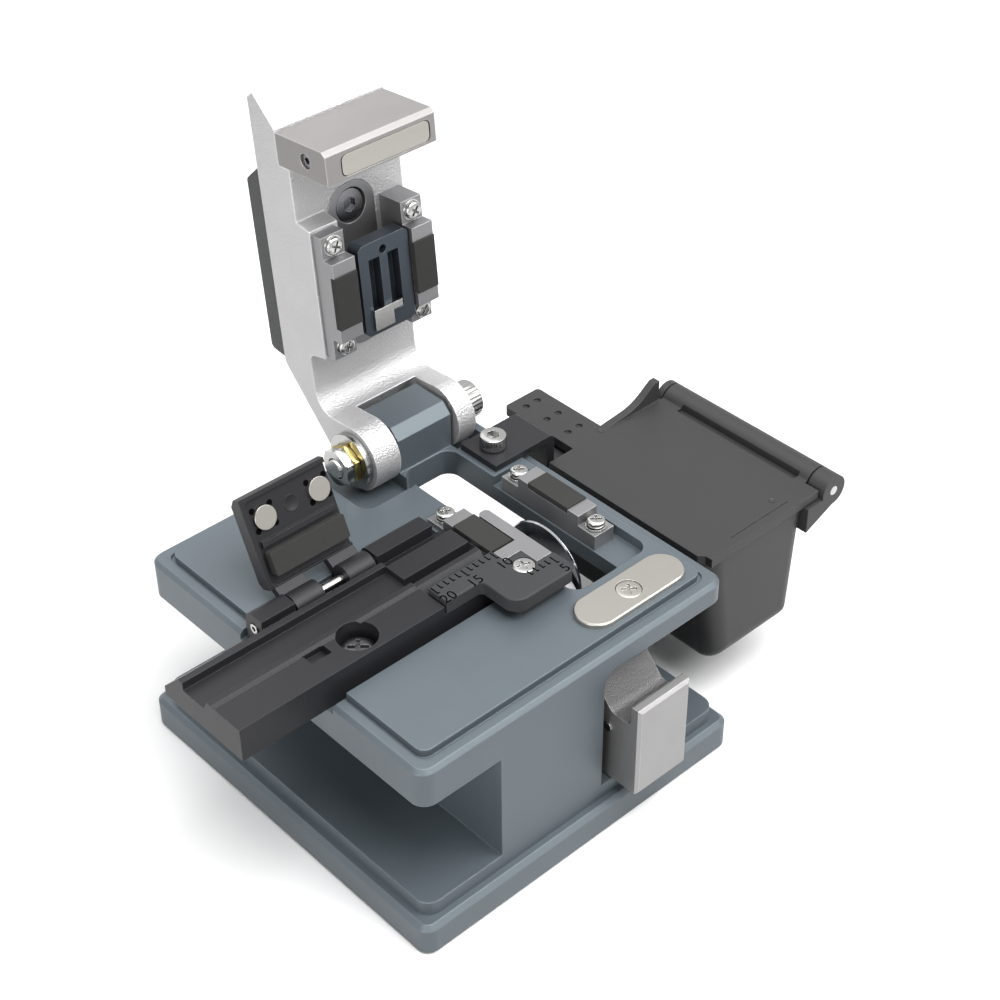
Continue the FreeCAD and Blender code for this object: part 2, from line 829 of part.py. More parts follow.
def make_deck_pads():
    """Pad holders and rubber pads on the deck, either side of the blade."""
    top = clamp_height
    bed = top - size.rubber_thick
    step = top - size.step_drop
    rear_end = size.pad_rear + size.pad_end
    rear_step = rear_end + size.pad_step
    right = piece("deck_pad_holder_right")
    front_end = -size.pad_front - size.pad_end
    front_step = front_end - size.pad_step
    shoulder = top - size.end_drop
    add_outline(right, "YZ_Plane", size.right_pad_start, size.right_pad_stop, [
        (front_step, size.ledge_floor), (rear_step, size.ledge_floor), (rear_step, step),
        (rear_end, step), (rear_end, shoulder), (size.pad_rear, shoulder),
        (size.pad_rear, bed), (-size.pad_front, bed), (-size.pad_front, shoulder),
        (front_end, shoulder), (front_end, step), (front_step, step)])
    left = piece("deck_pad_holder_left")
    add_outline(left, "YZ_Plane", size.left_pad_start, size.left_pad_stop, [
        (-size.pad_front + size.air_gap, size.deck_top), (rear_step, size.deck_top),
        (rear_step, step), (rear_end, step), (rear_end, shoulder),
        (size.pad_rear, shoulder), (size.pad_rear, bed),
        (-size.pad_front + size.air_gap, bed)])
    pads = (("deck_pad_right", size.right_pad_start, size.right_pad_stop, ZERO),
            ("deck_pad_left", size.left_pad_start, size.left_pad_stop, size.air_gap))
    for label, start, stop, trim in pads:
        pad = piece(label)
        add_outline(pad, "YZ_Plane", start, stop,
                    rectangle(-size.pad_front + trim, size.pad_rear, bed, top))
    spots = deck_screw_spots()[1:4]
    washers = piece("deck_spring_washers", grouped=True)
    add_discs(washers, "XY_Plane", step, step + size.spring_washer,
              [(x, y, size.pad_screw_radius + size.air_gap) for x, y in spots])
    cut_discs(washers, "XY_Plane", step, step + size.spring_washer,
              [(x, y, size.small_shank + size.running_fit) for x, y in spots])
    for holder, places in ((left, spots[:1]), (right, spots[1:])):
        cut_discs(holder, "XY_Plane", size.ledge_floor - size.air_gap, top,
                  [(x, y, size.small_shank + size.running_fit) for x, y in places])
    head_low = step + size.spring_washer
    screws = piece("deck_pad_screws", grouped=True)
    add_screws(screws, "XY_Plane", spots, size.deck_bore_floor + size.air_gap, head_low,
               head_low + size.pad_screw_head, size.small_shank, size.pad_screw_radius,
               size.small_shank)
    guide = piece("fibre_guide")
    add_outline(guide, "XY_Plane", size.deck_top, top, [
        (size.guide_left, -size.guide_bar_rear), (size.guide_tongue, -size.guide_bar_rear),
        (size.guide_tongue, size.guide_end, size.guide_round),
        (size.guide_right, size.guide_end, size.guide_round),
        (size.guide_right, -size.guide_front), (size.guide_stem, -size.guide_front),
        (size.guide_stem, -size.guide_bar_front), (size.guide_left, -size.guide_bar_front)])


def make_fibre_holder():
    """Tray that carries the fibre in a channel, with a tongue and two hinge lugs."""
    tray = piece("fibre_holder")
    floor, top = size.slot_floor, size.tray_top
    start, waist = -size.tray_left, -size.tray_right
    groove = size.ridge_front - size.ridge_rear
    add_outline(tray, "YZ_Plane", start, waist, [
        (-size.tray_front, floor), (-size.tray_front, top),
        (-size.ridge_front - groove, top), (-size.ridge_front - groove / 2, size.tray_groove),
        (-size.ridge_front, top), (-size.ridge_rear, top),
        (-size.channel_front, size.channel_floor), (size.channel_rear, size.channel_floor),
        (size.channel_rear, size.tray_rim),
        (size.channel_rear + size.tray_rim_width, size.tray_rim),
        (size.tray_rear, size.tray_rim - size.tray_slope), (size.tray_rear, floor)])
    add_outline(tray, "YZ_Plane", waist, size.tray_tongue, [
        (-size.tray_front, floor), (-size.tray_front, size.tongue_top),
        (-size.ridge_front - groove, size.tongue_top), (-size.ridge_front, size.tray_groove),
        (-size.ridge_rear, size.tray_groove), (-size.channel_front, size.trench_floor),
        (-size.trench_rear, size.trench_floor), (-size.trench_rear, size.tray_groove),
        (size.channel_rear, size.tray_groove),
        (size.tray_rear, size.tray_rim - size.tray_slope), (size.tray_rear, floor)])
    lug_left = -size.knuckle_outer_left - size.air_gap
    lug_right = -size.knuckle_outer_right + size.air_gap
    room = size.lug_front - size.channel_rear / 2
    cut_outline(tray, "XY_Plane", floor - size.air_gap, top + size.air_gap,
                rectangle(lug_left, lug_right, room, size.slot_rear + size.rim_width))
    for begin, finish in ((-size.lug_left_start, lug_left), (lug_right, size.lug_right_stop)):
        add_outline(tray, "YZ_Plane", begin, finish, [
            (size.lug_front, floor), (size.lug_rear, floor), (size.lug_rear, top, size.lug_round),
            (size.lug_front, top)])
    cut_discs(tray, "YZ_Plane", -size.lug_left_start - size.air_gap,
              size.lug_right_stop + size.air_gap,
              [(size.lid_pin_y, size.lid_pin_z, size.lid_pin_radius + size.running_fit)])
    spot = (-size.tray_screw_x, -size.tray_screw_y)
    bore_floor = top - size.tray_bore_depth
    cut_discs(tray, "XY_Plane", bore_floor, top + size.air_gap, [(*spot, size.tray_bore)])
    for left, right, front, rear in (
            (size.step_left, size.step_right, size.step_front, size.step_rear),
            (size.step_left, size.step_right, size.notch_front, size.notch_rear)):
        cut_outline(tray, "XY_Plane", top - size.step_depth, top + size.air_gap,
                    rectangle(-left, -right, -front, -rear))
    screw = piece("holder_screw")
    add_cross_screw(screw, spot, bore_floor, bore_floor + size.air_gap,
                    bore_floor + size.flat_head_depth * 2, size.tray_screw_radius / 2,
                    size.tray_screw_radius)
    pin = piece("lid_hinge_pin")
    add_discs(pin, "YZ_Plane", -size.lug_left_start - size.air_gap / 2, size.lug_right_stop,
              [(size.lid_pin_y, size.lid_pin_z, size.lid_pin_radius)])
    cut_discs(pin, "YZ_Plane", -size.lug_left_start - size.air_gap, -size.lug_left_start
              + size.lid_pin_radius, [(size.lid_pin_y, size.lid_pin_z,
                                       size.lid_pin_radius / 2)])


def make_scale_plate():
    """Plate over the tongue, cut out round the guide, and its flush screw."""
    plate = piece("scale_plate")
    low, top = size.tongue_top, size.plate_top
    add_outline(plate, "XY_Plane", low, top, [
        (-size.plate_left, -size.plate_back), (-size.plate_left, -size.plate_shoulder),
        (-size.plate_waist, -size.plate_shoulder, size.plate_round),
        (-size.plate_waist, -size.plate_front, size.plate_round * 3),
        (size.plate_right, -size.plate_front, size.plate_round * 2),
        (size.plate_right, -size.cut_low), (size.cut_inner, -size.cut_low),
        (size.cut_inner, -size.cut_front), (size.cut_left, -size.cut_front),
        (size.cut_left, -size.plate_back)])
    dress(plate, "Chamfer", level_edges(plate, top), size.striker_edge)
    front = -size.plate_front + size.plate_edge
    add_outline(plate, "XY_Plane", size.deck_top, low, [
        (size.plate_edge, front, size.plate_round),
        (size.plate_right - size.plate_edge, front, size.plate_round),
        (size.plate_right - size.plate_edge, -size.cut_low),
        (size.cut_inner - size.air_gap, -size.cut_low),
        (size.cut_inner - size.air_gap, -size.plate_shoulder),
        (size.slot_end + size.air_gap, -size.plate_shoulder),
        (size.slot_end + size.air_gap, -size.slot_front - size.air_gap),
        (size.plate_edge, -size.slot_front - size.air_gap)])
    spot = (size.plate_screw_x, -size.plate_screw_y)
    head_low = top - size.flat_head_depth
    cut_discs(plate, "XY_Plane", head_low, top + size.air_gap,
              [(*spot, size.plate_screw_head + size.running_fit)])
    cut_discs(plate, "XY_Plane", size.deck_top - size.air_gap, top,
              [(*spot, size.small_shank + size.running_fit)])
    screw = piece("scale_plate_screw")
    add_cross_screw(screw, spot, size.deck_bore_floor + size.air_gap, head_low, top,
                    size.small_shank, size.plate_screw_head)


def hexagon(across, along, reach):
    """Corners of a six-sided outline about a centre."""
    corners = []
    for turn in range(6):
        angle = math.radians(60 * turn + 30)
        corners.append((across + reach * math.cos(angle), along + reach * math.sin(angle)))
    return corners


def make_hinge_parts():
    """Cap screw that is the arm's shaft, with its washers, bush and nut."""
    centre = (size.hinge_y, hinge_z)
    bore = (*centre, size.shaft_radius + size.running_fit)
    start = size.arm_left - size.running_fit
    washers = piece("hinge_washers", grouped=True)
    right_face = size.arm_right + size.running_fit
    layers = [(start - size.washer_thick, start),
              (start - size.washer_thick * 2 - size.running_fit,
               start - size.washer_thick - size.running_fit),
              (right_face, right_face + size.washer_thick)]
    for low, high in layers:
        ring = new_sketch(washers, "YZ_Plane", low)
        draw_circle(ring, *centre, size.washer_radius if low is not right_face
                    else size.cap_radius)
        draw_circle(ring, *bore)
        extrude(washers, "Pad", ring, high - low)
    bush_right = start - size.washer_thick * 2 - size.running_fit * 2
    bush = piece("hinge_bush")
    add_outline(bush, "YZ_Plane", bush_right - size.bush_thick, bush_right,
                hexagon(*centre, size.bush_radius))
    cut_discs(bush, "YZ_Plane", bush_right - size.bush_thick - size.air_gap,
              bush_right + size.air_gap, [bore])
    nut_right = bush_right - size.bush_thick
    nut = piece("hinge_nut")
    add_outline(nut, "YZ_Plane", nut_right - size.nut_thick, nut_right,
                hexagon(*centre, size.nut_radius))
    cut_discs(nut, "YZ_Plane", nut_right - size.nut_thick - size.air_gap,
              nut_right + size.air_gap, [bore])
    shaft = piece("hinge_shaft")
    add_screws(shaft, "YZ_Plane", [centre], nut_right - size.nut_thick - size.air_gap,
               right_face + size.washer_thick,
               right_face + size.washer_thick + size.cap_height,
               size.shaft_radius, size.cap_radius, size.cap_socket)


def make_bin():
    """Scrap bin beside the deck, with its bracket, screws and hinge pin."""
    box = piece("bin_body")
    front, rear = -size.bin_front, size.bin_rear
    low_left = bin_left + size.bin_taper_left
    low_right = bin_right - size.bin_taper_right
    add_outline(box, "XZ_Plane", -rear, -front, [
        (bin_left, size.bin_top), (low_left, size.bin_low, size.bin_round / 2),
        (low_right, size.bin_low, size.bin_round / 2), (bin_right, size.bin_top)])
    upright = edges_where(box, lambda edge, a, b: same(a.y, b.y)
                          and abs(a.z - b.z) > size.bin_round.number)
    dress(box, "Fillet", upright, size.bin_round)
    wall = size.bin_wall
    cut_outline(box, "XZ_Plane", -rear + wall, -front - wall, [
        (bin_left + wall, size.bin_top + size.air_gap),
        (low_left + wall, size.bin_low + wall, size.bin_round / 2),
        (low_right - wall, size.bin_low + wall, size.bin_round / 2),
        (bin_right - wall, size.bin_top + size.air_gap)])
    foot, lean = bin_right - wall, size.bin_ear_lean
    ears = ((-front - size.bin_ear, -front + size.air_gap * 3),
            (-rear, -rear + size.bin_ear / 2))
    for begin, finish in ears:
        add_outline(box, "XZ_Plane", begin, finish, [
            (foot, size.bin_top - size.bin_ear_reach),
            (bin_hinge[0] + lean, bin_hinge[1] - lean),
            (bin_hinge[0], size.bin_top), (foot, size.bin_top)])
        add_discs(box, "XZ_Plane", begin, finish, [(*bin_hinge, size.bin_knuckle)])
    cut_discs(box, "XZ_Plane", -rear - size.bin_ear, -front + size.bin_ear,
              [(*bin_hinge, size.bin_pin_radius + size.running_fit)])
    lug_top = size.bin_lid_top - size.bin_lid_thick - size.air_gap * 2
    lug_right, lug_front = bracket_right + size.bin_lug, rear - wall / 2
    add_outline(box, "XY_Plane", size.bracket_low, lug_top, [
        (bracket_right, lug_front), (lug_right, lug_front),
        (lug_right, size.bracket_rear, size.bin_round / 2),
        (bracket_right, size.bracket_rear)])
    pin = piece("bin_hinge_pin")
    add_discs(pin, "XZ_Plane", -rear, -front + size.air_gap * 3,
              [(*bin_hinge, size.bin_pin_radius)])
    bracket = piece("bin_bracket")
    top = size.deck_top + size.bracket_thick
    inner_end = right_edge - size.bracket_left
    add_outline(bracket, "XZ_Plane", -size.bracket_rear, -size.bracket_front, [
        (inner_end, size.deck_top), (bracket_right - size.bracket_leg, size.deck_top),
        (bracket_right - size.bracket_leg, size.bracket_low),
        (bracket_right, size.bracket_low), (bracket_right, top, size.bracket_thick),
        (inner_end, top)])
    shank = size.bracket_screw_shank
    cut_discs(bracket, "XY_Plane", size.deck_top - size.air_gap, top + size.air_gap,
              [(*bracket_spot, shank + size.running_fit)])
    screw = piece("bracket_screw")
    add_screws(screw, "XY_Plane", [bracket_spot], size.deck_bore_floor + size.air_gap, top,
               top + size.bracket_screw_head, shank, size.bracket_screw_radius, shank)


def ahead(corners):
    """Turn (reach, height) points of a closed lever into its own drawing axes."""
    return [(-corner[0], *corner[1:]) for corner in corners]


def swing_open(bodies, across_y, across_z, angle):
    """Set bodies that were drawn closed at a hinge along X into their open pose."""
    for body in bodies:
        body.Placement = Placement(Vector(0, across_y.number, across_z.number),
                                   Rotation(Vector(1, 0, 0), -angle.number))
        bind(body, "Placement.Base.y", across_y)
        bind(body, "Placement.Base.z", across_z)
        bind(body, "Placement.Rotation.Angle", -angle)


FLANK = 0.7


def make_holder_lid():
    """Lid of the fibre holder with two magnets and a rubber bar, standing open."""
    seat, thick = size.lid_seat, size.lid_thick
    root = size.knuckle_radius + size.air_gap * 2
    lid = piece("holder_lid")
    add_outline(lid, "YZ_Plane", -size.lid_left, -size.lid_right, ahead([
        (root, seat), (size.lid_reach, seat), (size.lid_reach, seat + thick - size.lid_bevel),
        (size.lid_reach - size.lid_bevel, seat + thick),
        (root + size.lid_heel, seat + thick), (root, seat + thick - size.lid_heel)]))
    flank = size.knuckle_radius * FLANK
    for outer, inner in ((-size.knuckle_outer_left, -size.knuckle_inner_left),
                         (-size.knuckle_inner_right, -size.knuckle_outer_right)):
        add_outline(lid, "YZ_Plane", outer, inner, ahead([
            (ZERO, ZERO), (flank, flank), (root, seat), (root + thick / 2, seat),
            (root + thick / 2, seat + thick), (ZERO, size.knuckle_radius)]))
        add_discs(lid, "YZ_Plane", outer, inner, [(ZERO, ZERO, size.knuckle_radius)])
    cut_discs(lid, "YZ_Plane", -size.lid_left, -size.lid_right,
              [(ZERO, ZERO, size.lid_pin_radius + size.running_fit)])
    rim = size.lid_pad_left - size.lid_left
    cut_outline(lid, "XY_Plane", seat - size.air_gap, seat + size.lid_hollow,
                rectangle(-size.lid_pad_left + rim / 2, -size.lid_pad_right - rim / 2,
                          -size.lid_reach - rim / 2, -root - size.air_gap, size.lid_corner))
    bar = size.lid_pad_far + size.air_gap * 2
    add_outline(lid, "XY_Plane", seat, seat + size.lid_hollow + size.air_gap,
                rectangle(-size.lid_pad_left, -size.lid_pad_right,
                          -bar - size.lid_ridge, -bar))
    spots = [(-size.magnet_left, -size.magnet_reach), (-size.magnet_right, -size.magnet_reach)]
    deep = seat + size.magnet_depth
    cut_discs(lid, "XY_Plane", seat, deep,
              [(x, y, size.magnet_radius + size.running_fit) for x, y in spots])
    magnets = piece("lid_magnets", grouped=True)
    add_discs(magnets, "XY_Plane", seat + size.running_fit, deep,
              [(x, y, size.magnet_radius) for x, y in spots])
    pad = piece("lid_pad")
    pad_top = seat + size.lid_hollow
    add_outline(pad, "XY_Plane", pad_top - size.lid_pad_thick - size.lid_hollow, pad_top,
                rectangle(-size.lid_pad_left, -size.lid_pad_right,
                          -size.lid_pad_far, -size.lid_pad_near, size.lid_corner / 2))
    swing_open([lid, magnets, pad], size.lid_pin_y, size.lid_pin_z, size.lid_open_angle)


def make_arm():
    """Arm casting with its fork, arch, side rail, hollow belly and bores."""
    arm = piece("arm")
    back, belly, rail = size.arm_back, size.arm_belly, size.arm_rail
    crown = size.fork_depth - size.hinge_bevel
    boss = size.boss_radius
    add_outline(arm, "YZ_Plane", size.arm_left, size.arm_right, ahead([
        (magnet_middle + size.arm_lip, back - size.arm_lip_drop),
        (magnet_middle + size.arm_nose, back), (crown, back, boss / 2),
        (-size.heel_back, size.heel_back_up), (size.heel_front, size.heel_front_up),
        (size.heel_front, size.arch_top, size.heel_round),
        (size.rail_start - size.arch_round / 2, size.arch_top, size.arch_round),
        (size.rail_start, rail), (size.rail_stop, rail),
        (size.rail_stop + size.arch_round / 2, belly), (block_back, belly),
        (block_back, size.arm_chin), (magnet_middle + size.arm_chin_ahead, size.arm_chin)]))
    add_discs(arm, "YZ_Plane", size.arm_left, size.arm_right, [(ZERO, ZERO, boss)])
    cut_discs(arm, "YZ_Plane", size.leg_left_inner, size.leg_right_inner,
              [(ZERO, ZERO, size.fork_radius)])
    cut_outline(arm, "YZ_Plane", size.arm_left + size.rail_width, size.arm_right + boss,
                ahead([(size.rail_start - boss / 2, belly), (size.rail_start - boss / 2, 0),
                       (size.rail_stop + boss, 0), (size.rail_stop + boss, belly)]))
    long_edges = edges_where(arm, lambda edge, a, b: same(a.x, b.x) and same(a.z, back.number)
                             and same(b.z, back.number)
                             and min(abs(a.x - size.arm_left.number),
                                     abs(a.x - size.arm_right.number)) < 1e-4)
    dress(arm, "Chamfer", long_edges, size.arm_edge)
    cut_discs(arm, "YZ_Plane", size.arm_left - boss, size.arm_right + boss,
              [(ZERO, ZERO, size.shaft_radius + size.running_fit)])
    liner_top = belly + size.insert_thick
    cut_outline(arm, "XY_Plane", belly - size.air_gap, liner_top,
                insert_outline(size.running_fit))
    stem = (size.stem_x, -size.stem_reach)
    cut_discs(arm, "XY_Plane", belly, size.stem_top + size.anvil_travel + size.air_gap,
              [(*stem, size.stem_radius + size.running_fit)])
    socket = (size.socket_x, -size.socket_reach)
    cut_discs(arm, "XY_Plane", belly, liner_top + size.socket_depth,
              [(*socket, size.socket_radius + size.air_gap)])
    cut_discs(arm, "XY_Plane", belly, back - size.insert_thick,
              [(*socket, size.socket_radius / 2 + size.running_fit)])
    cut_discs(arm, "XY_Plane", rail - size.air_gap, rail + size.arm_screw_bite + size.air_gap,
              [(x, y, size.small_shank + size.running_fit) for x, y in arm_screw_spots()[:2]])
    cut_discs(arm, "XY_Plane", belly - size.air_gap, belly + size.arm_screw_bite + size.air_gap,
              [(x, y, size.small_shank + size.running_fit) for x, y in arm_screw_spots()[2:]])
    liner = piece("anvil_carrier")
    add_outline(liner, "XY_Plane", belly, liner_top, insert_outline(ZERO))
    cut_discs(liner, "XY_Plane", belly - size.air_gap, liner_top + size.air_gap,
              [(*stem, size.stem_radius + size.running_fit),
               (*socket, size.socket_radius + size.air_gap)])
    screw = piece("anvil_adjuster")
    head_low = belly + size.air_gap
    add_discs(screw, "XY_Plane", head_low, liner_top + size.socket_depth,
              [(*socket, size.socket_radius)])
    add_discs(screw, "XY_Plane", liner_top + size.socket_depth,
              back - size.insert_thick - size.air_gap, [(*socket, size.socket_radius / 2)])
    cut_outline(screw, "XY_Plane", head_low - size.air_gap, liner_top,
                hexagon(*socket, size.socket_radius / 2))
    grip = piece("arm_grip")
    inset = size.grip_side
    add_outline(grip, "YZ_Plane", size.arm_left + inset, size.arm_right - inset, ahead([
        (size.grip_start, back), (size.grip_stop, back),
        (size.grip_stop - size.grip_lean, back + size.grip_height, size.grip_height / 4),
        (size.grip_start + inset, back + size.grip_height, size.grip_height / 4)]))
    return [arm, liner, screw, grip]


def insert_outline(ease):
    """Outline of the carrier plate let into the arm, grown by a little ease."""
    low, high = -size.insert_far - ease, -size.insert_near + ease
    left, right = size.insert_left - ease, size.insert_right + ease
    return rectangle(left, right, low, high, size.insert_round)


def arm_pad_spans():
    """Where the arm's pads begin and end ahead of the hinge."""
    near = size.hinge_y - size.pad_rear
    far = size.hinge_y + size.pad_front
    return near, far, size.pad_end, size.pad_end + size.pad_step


def arm_screw_spots():
    """Places of the pad holders' screws in the arm's own axes, left pair first."""
    near, far, end, step = arm_pad_spans()
    left = (size.left_pad_start + size.left_pad_stop) / 2
    right = (size.right_pad_start + size.right_pad_stop) / 2
    middle = (end + step) / 2
    return [(x, y) for x in (left, right) for y in (-near + middle, -far - middle)]


def make_arm_pads():
    """Pad holders, rubber pads and their screws under the arm."""
    near, far, end, step = arm_pad_spans()
    low = clamp_height - hinge_z + size.clamp_gap
    rubber, shoulder = low + size.rubber_thick, low + size.end_drop
    ledge = low + size.arm_step_drop
    made = []
    sides = (("left", size.left_pad_start, size.left_pad_stop, size.arm_rail),
             ("right", size.right_pad_start, size.right_pad_stop, size.arm_belly))
    spots = arm_screw_spots()
    for index, (side, start, stop, top) in enumerate(sides):
        holder = piece(f"arm_pad_holder_{side}")
        add_outline(holder, "YZ_Plane", start, stop, ahead([
            (near - step, top), (near - step, ledge), (near - end, ledge),
            (near - end, shoulder), (near, shoulder), (near, rubber), (far, rubber),
            (far, shoulder), (far + end, shoulder), (far + end, ledge),
            (far + step, ledge), (far + step, top)]))
        cut_discs(holder, "XY_Plane", ledge - size.air_gap, top + size.air_gap,
                  [(x, y, size.small_shank + size.running_fit)
                   for x, y in spots[2 * index:2 * index + 2]])
        pad = piece(f"arm_pad_{side}")
        add_outline(pad, "YZ_Plane", start, stop, ahead(rectangle(near, far, low, rubber)))
        made += [holder, pad]
    screws = piece("arm_pad_screws", grouped=True)
    head_low = ledge - size.pad_screw_head
    add_discs(screws, "XY_Plane", head_low, ledge,
              [(x, y, size.pad_screw_radius) for x, y in spots])
    add_discs(screws, "XY_Plane", ledge, size.arm_rail + size.arm_screw_bite,
              [(x, y, size.small_shank) for x, y in spots[:2]])
    add_discs(screws, "XY_Plane", ledge, size.arm_belly + size.arm_screw_bite,
              [(x, y, size.small_shank) for x, y in spots[2:]])
    sockets = new_sketch(screws, "XY_Plane", head_low)
    for across, along in spots:
        draw_outline(sockets, hexagon(across, along, size.small_shank))
    extrude(screws, "Pocket", sockets, size.pad_screw_head / 2)
    return made + [screws]


def make_magnet_block():
    """Block across the arm's end, the bar magnet let into it and its set screw."""
    low, top = -size.block_low, size.arm_chin
    block = piece("magnet_block")
    add_outline(block, "YZ_Plane", size.arm_left, size.arm_right, ahead([
        (block_back, low), (block_front - size.block_edge, low),
        (block_front, low + size.block_edge), (block_front, top), (block_back, top)]))
    bar_back = magnet_middle - size.bar_width / 2
    bar_front = magnet_middle + size.bar_width / 2
    slot_top = low + size.bar_depth
    cut_outline(block, "XY_Plane", low - size.air_gap, slot_top,
                rectangle(size.bar_left, size.bar_right, -bar_front, -bar_back,
                          size.bar_round))
    spot = (-magnet_middle - size.block_screw_ahead, size.block_screw_height)
    depth = size.arm_left + size.block_screw_radius * 2
    cut_discs(block, "YZ_Plane", size.arm_left - size.air_gap, depth,
              [(*spot, size.block_screw_radius + size.running_fit)])
    ease = size.running_fit
    bar = piece("magnet_bar")
    add_outline(bar, "XY_Plane", low, slot_top,
                rectangle(size.bar_left + ease, size.bar_right - ease,
                          -bar_front + ease, -bar_back - ease, size.bar_round))
    screw = piece("block_screw")
    add_discs(screw, "YZ_Plane", size.arm_left + size.air_gap, depth,
              [(*spot, size.block_screw_radius)])
    cut_outline(screw, "YZ_Plane", size.arm_left, size.arm_left + size.air_gap * 3,
                hexagon(*spot, size.block_screw_radius / 2))
    return [block, bar, screw]


def make_anvil():
    """Anvil block on its round stem, slit twice, with the thin tip under it."""
    low = size.anvil_low
    top = low + size.anvil_thick
    anvil = piece("anvil")
    add_outline(anvil, "XY_Plane", low, top,
                rectangle(size.anvil_left, size.anvil_right, -anvil_far,
                          -anvil_near, size.anvil_round))
    stem = (size.stem_x, -size.stem_reach)
    add_discs(anvil, "XY_Plane", low + size.anvil_thick / 2, size.stem_top,
              [(*stem, size.stem_radius)])
    middle = (anvil_near + anvil_far) / 2
    for side in (-1, 1):
        slit = size.stem_x + side * size.slit_offset
        cut_outline(anvil, "XY_Plane", low - size.air_gap, top - size.slit_floor,
                    rectangle(slit - size.slit_width / 2, slit + size.slit_width / 2,
                              -middle - size.slit_length / 2, -middle + size.slit_length / 2))
    cut_discs(anvil, "XY_Plane", low - size.air_gap, top + size.air_gap,
              [(size.stem_x, -anvil_far + size.anvil_eye_inset, size.anvil_eye)])
    tip = piece("anvil_tip")
    tip_near = size.stem_reach - size.tip_behind
    tip_far = tip_near + size.tip_length
    add_outline(tip, "XY_Plane", low - size.tip_thick, low, [
        (size.tip_x - size.tip_width / 2, -tip_far),
        (size.tip_x + size.tip_width, -tip_far),
        (size.tip_x + size.tip_width, -tip_far + size.tip_thick * 2),
        (size.tip_x + size.tip_width / 2, -tip_far + size.tip_thick * 2),
        (size.tip_x + size.tip_width / 2, -tip_near),
        (size.tip_x - size.tip_width / 2, -tip_near)])
    return [anvil, tip]


def make_slider():
    """Rail on the column, and the carriage that runs on it with the blade's holder."""
    rail = piece("slide_rail")
    face = size.column_right
    add_outline(rail, "YZ_Plane", face, face + size.rail_thick,
                rectangle(-size.rail_front, size.rail_rear, size.rail_low, size.rail_high))
    runner = piece("runner_block")
    ease, wall = size.running_fit, size.runner_wall
    inner = face + size.rail_thick
    add_outline(runner, "XZ_Plane", -size.runner_rear, size.runner_front, [
        (face + size.air_gap, size.rail_low - wall), (size.runner_right, size.rail_low - wall),
        (size.runner_right, size.rail_high + wall), (face + size.air_gap, size.rail_high + wall),
        (face + size.air_gap, size.rail_high + ease), (inner + ease, size.rail_high + ease),
        (inner + ease, size.rail_low - ease), (face + size.air_gap, size.rail_low - ease)])
    carriage = piece("carriage")
    front, lip = -size.slide_front, size.slide_lip
    inside = front + size.slide_wall
    add_outline(carriage, "YZ_Plane", size.slide_left, size.slide_right, [
        (front, size.slide_low), (size.slide_tail, size.slide_low),
        (size.slide_tail, size.slide_beam), (-size.slide_block_rear, size.slide_beam),
        (-size.slide_block_rear, size.slide_top),
        (-size.slide_block_rear - size.scoop_flat, size.slide_top, size.scoop_round),
        (inside + size.scoop_width, lip - size.scoop_depth, size.scoop_round),
        (inside, lip - size.scoop_depth, size.scoop_round / 2), (inside, lip), (front, lip)])
    brow = edges_where(carriage, lambda edge, a, b: same(a.y, front.number)
                       and same(b.y, front.number))
    dress(carriage, "Chamfer", brow, size.slide_edge)
    cut_outline(carriage, "XY_Plane", size.slide_low - size.air_gap,
                size.slide_top + size.air_gap,
                [(size.slide_left - size.air_gap, -size.runner_front - size.air_gap),
                 (size.runner_right, -size.runner_front - size.air_gap),
                 (size.runner_right, size.slide_tail + size.air_gap),
                 (size.slide_left - size.air_gap, size.slide_tail + size.air_gap)])
    holder = piece("blade_holder")
    add_outline(holder, "YZ_Plane", size.holder_left, size.holder_right, [
        (-size.blade_y - size.holder_front, size.slide_beam),
        (-size.blade_y + size.holder_rear, size.slide_beam),
        (-size.blade_y + size.holder_rear, size.blade_z, size.scoop_round),
        (-size.blade_y - size.holder_front + size.holder_wedge * 2, size.blade_z
         + size.hub_radius),
        (-size.blade_y - size.holder_front + size.holder_wedge, size.holder_top),
        (-size.blade_y - size.holder_front, size.holder_top - size.holder_wedge)])
    centre = (-size.blade_y, size.blade_z)
    cut_discs(holder, "YZ_Plane", size.holder_left - size.air_gap,
              size.holder_right + size.air_gap, [(*centre, size.axle_radius + ease)])
    axle = piece("blade_axle")
    hub_left = size.blade_x - size.hub_thick / 2
    hub_right = size.blade_x + size.hub_thick / 2
    add_screws(axle, "YZ_Plane", [centre], size.holder_left, hub_right + ease * 2,
               hub_right + ease * 2 + size.axle_head_thick, size.axle_radius,
               size.axle_head_radius, size.axle_socket)
    blade = piece("blade")
    half = size.blade_thick / 2
    add_discs(blade, "YZ_Plane", size.blade_x - half, size.blade_x + half,
              [(*centre, size.blade_radius)])
    rim = edges_where(blade, lambda edge, a, b: edge.BoundBox.YLength
                      > size.blade_radius.number)
    dress(blade, "Chamfer", rim, size.blade_bevel)
    add_discs(blade, "YZ_Plane", hub_left, hub_right, [(*centre, size.hub_radius)])
    cut_discs(blade, "YZ_Plane", hub_left - ease, hub_right + ease,
              [(*centre, size.axle_radius + ease)])
    pin = piece("slide_stop_pin")
    add_discs(pin, "YZ_Plane", size.slide_left - size.pin_stand, size.slide_left,
              [(front + size.pin_behind, size.pin_height, size.pin_radius)])


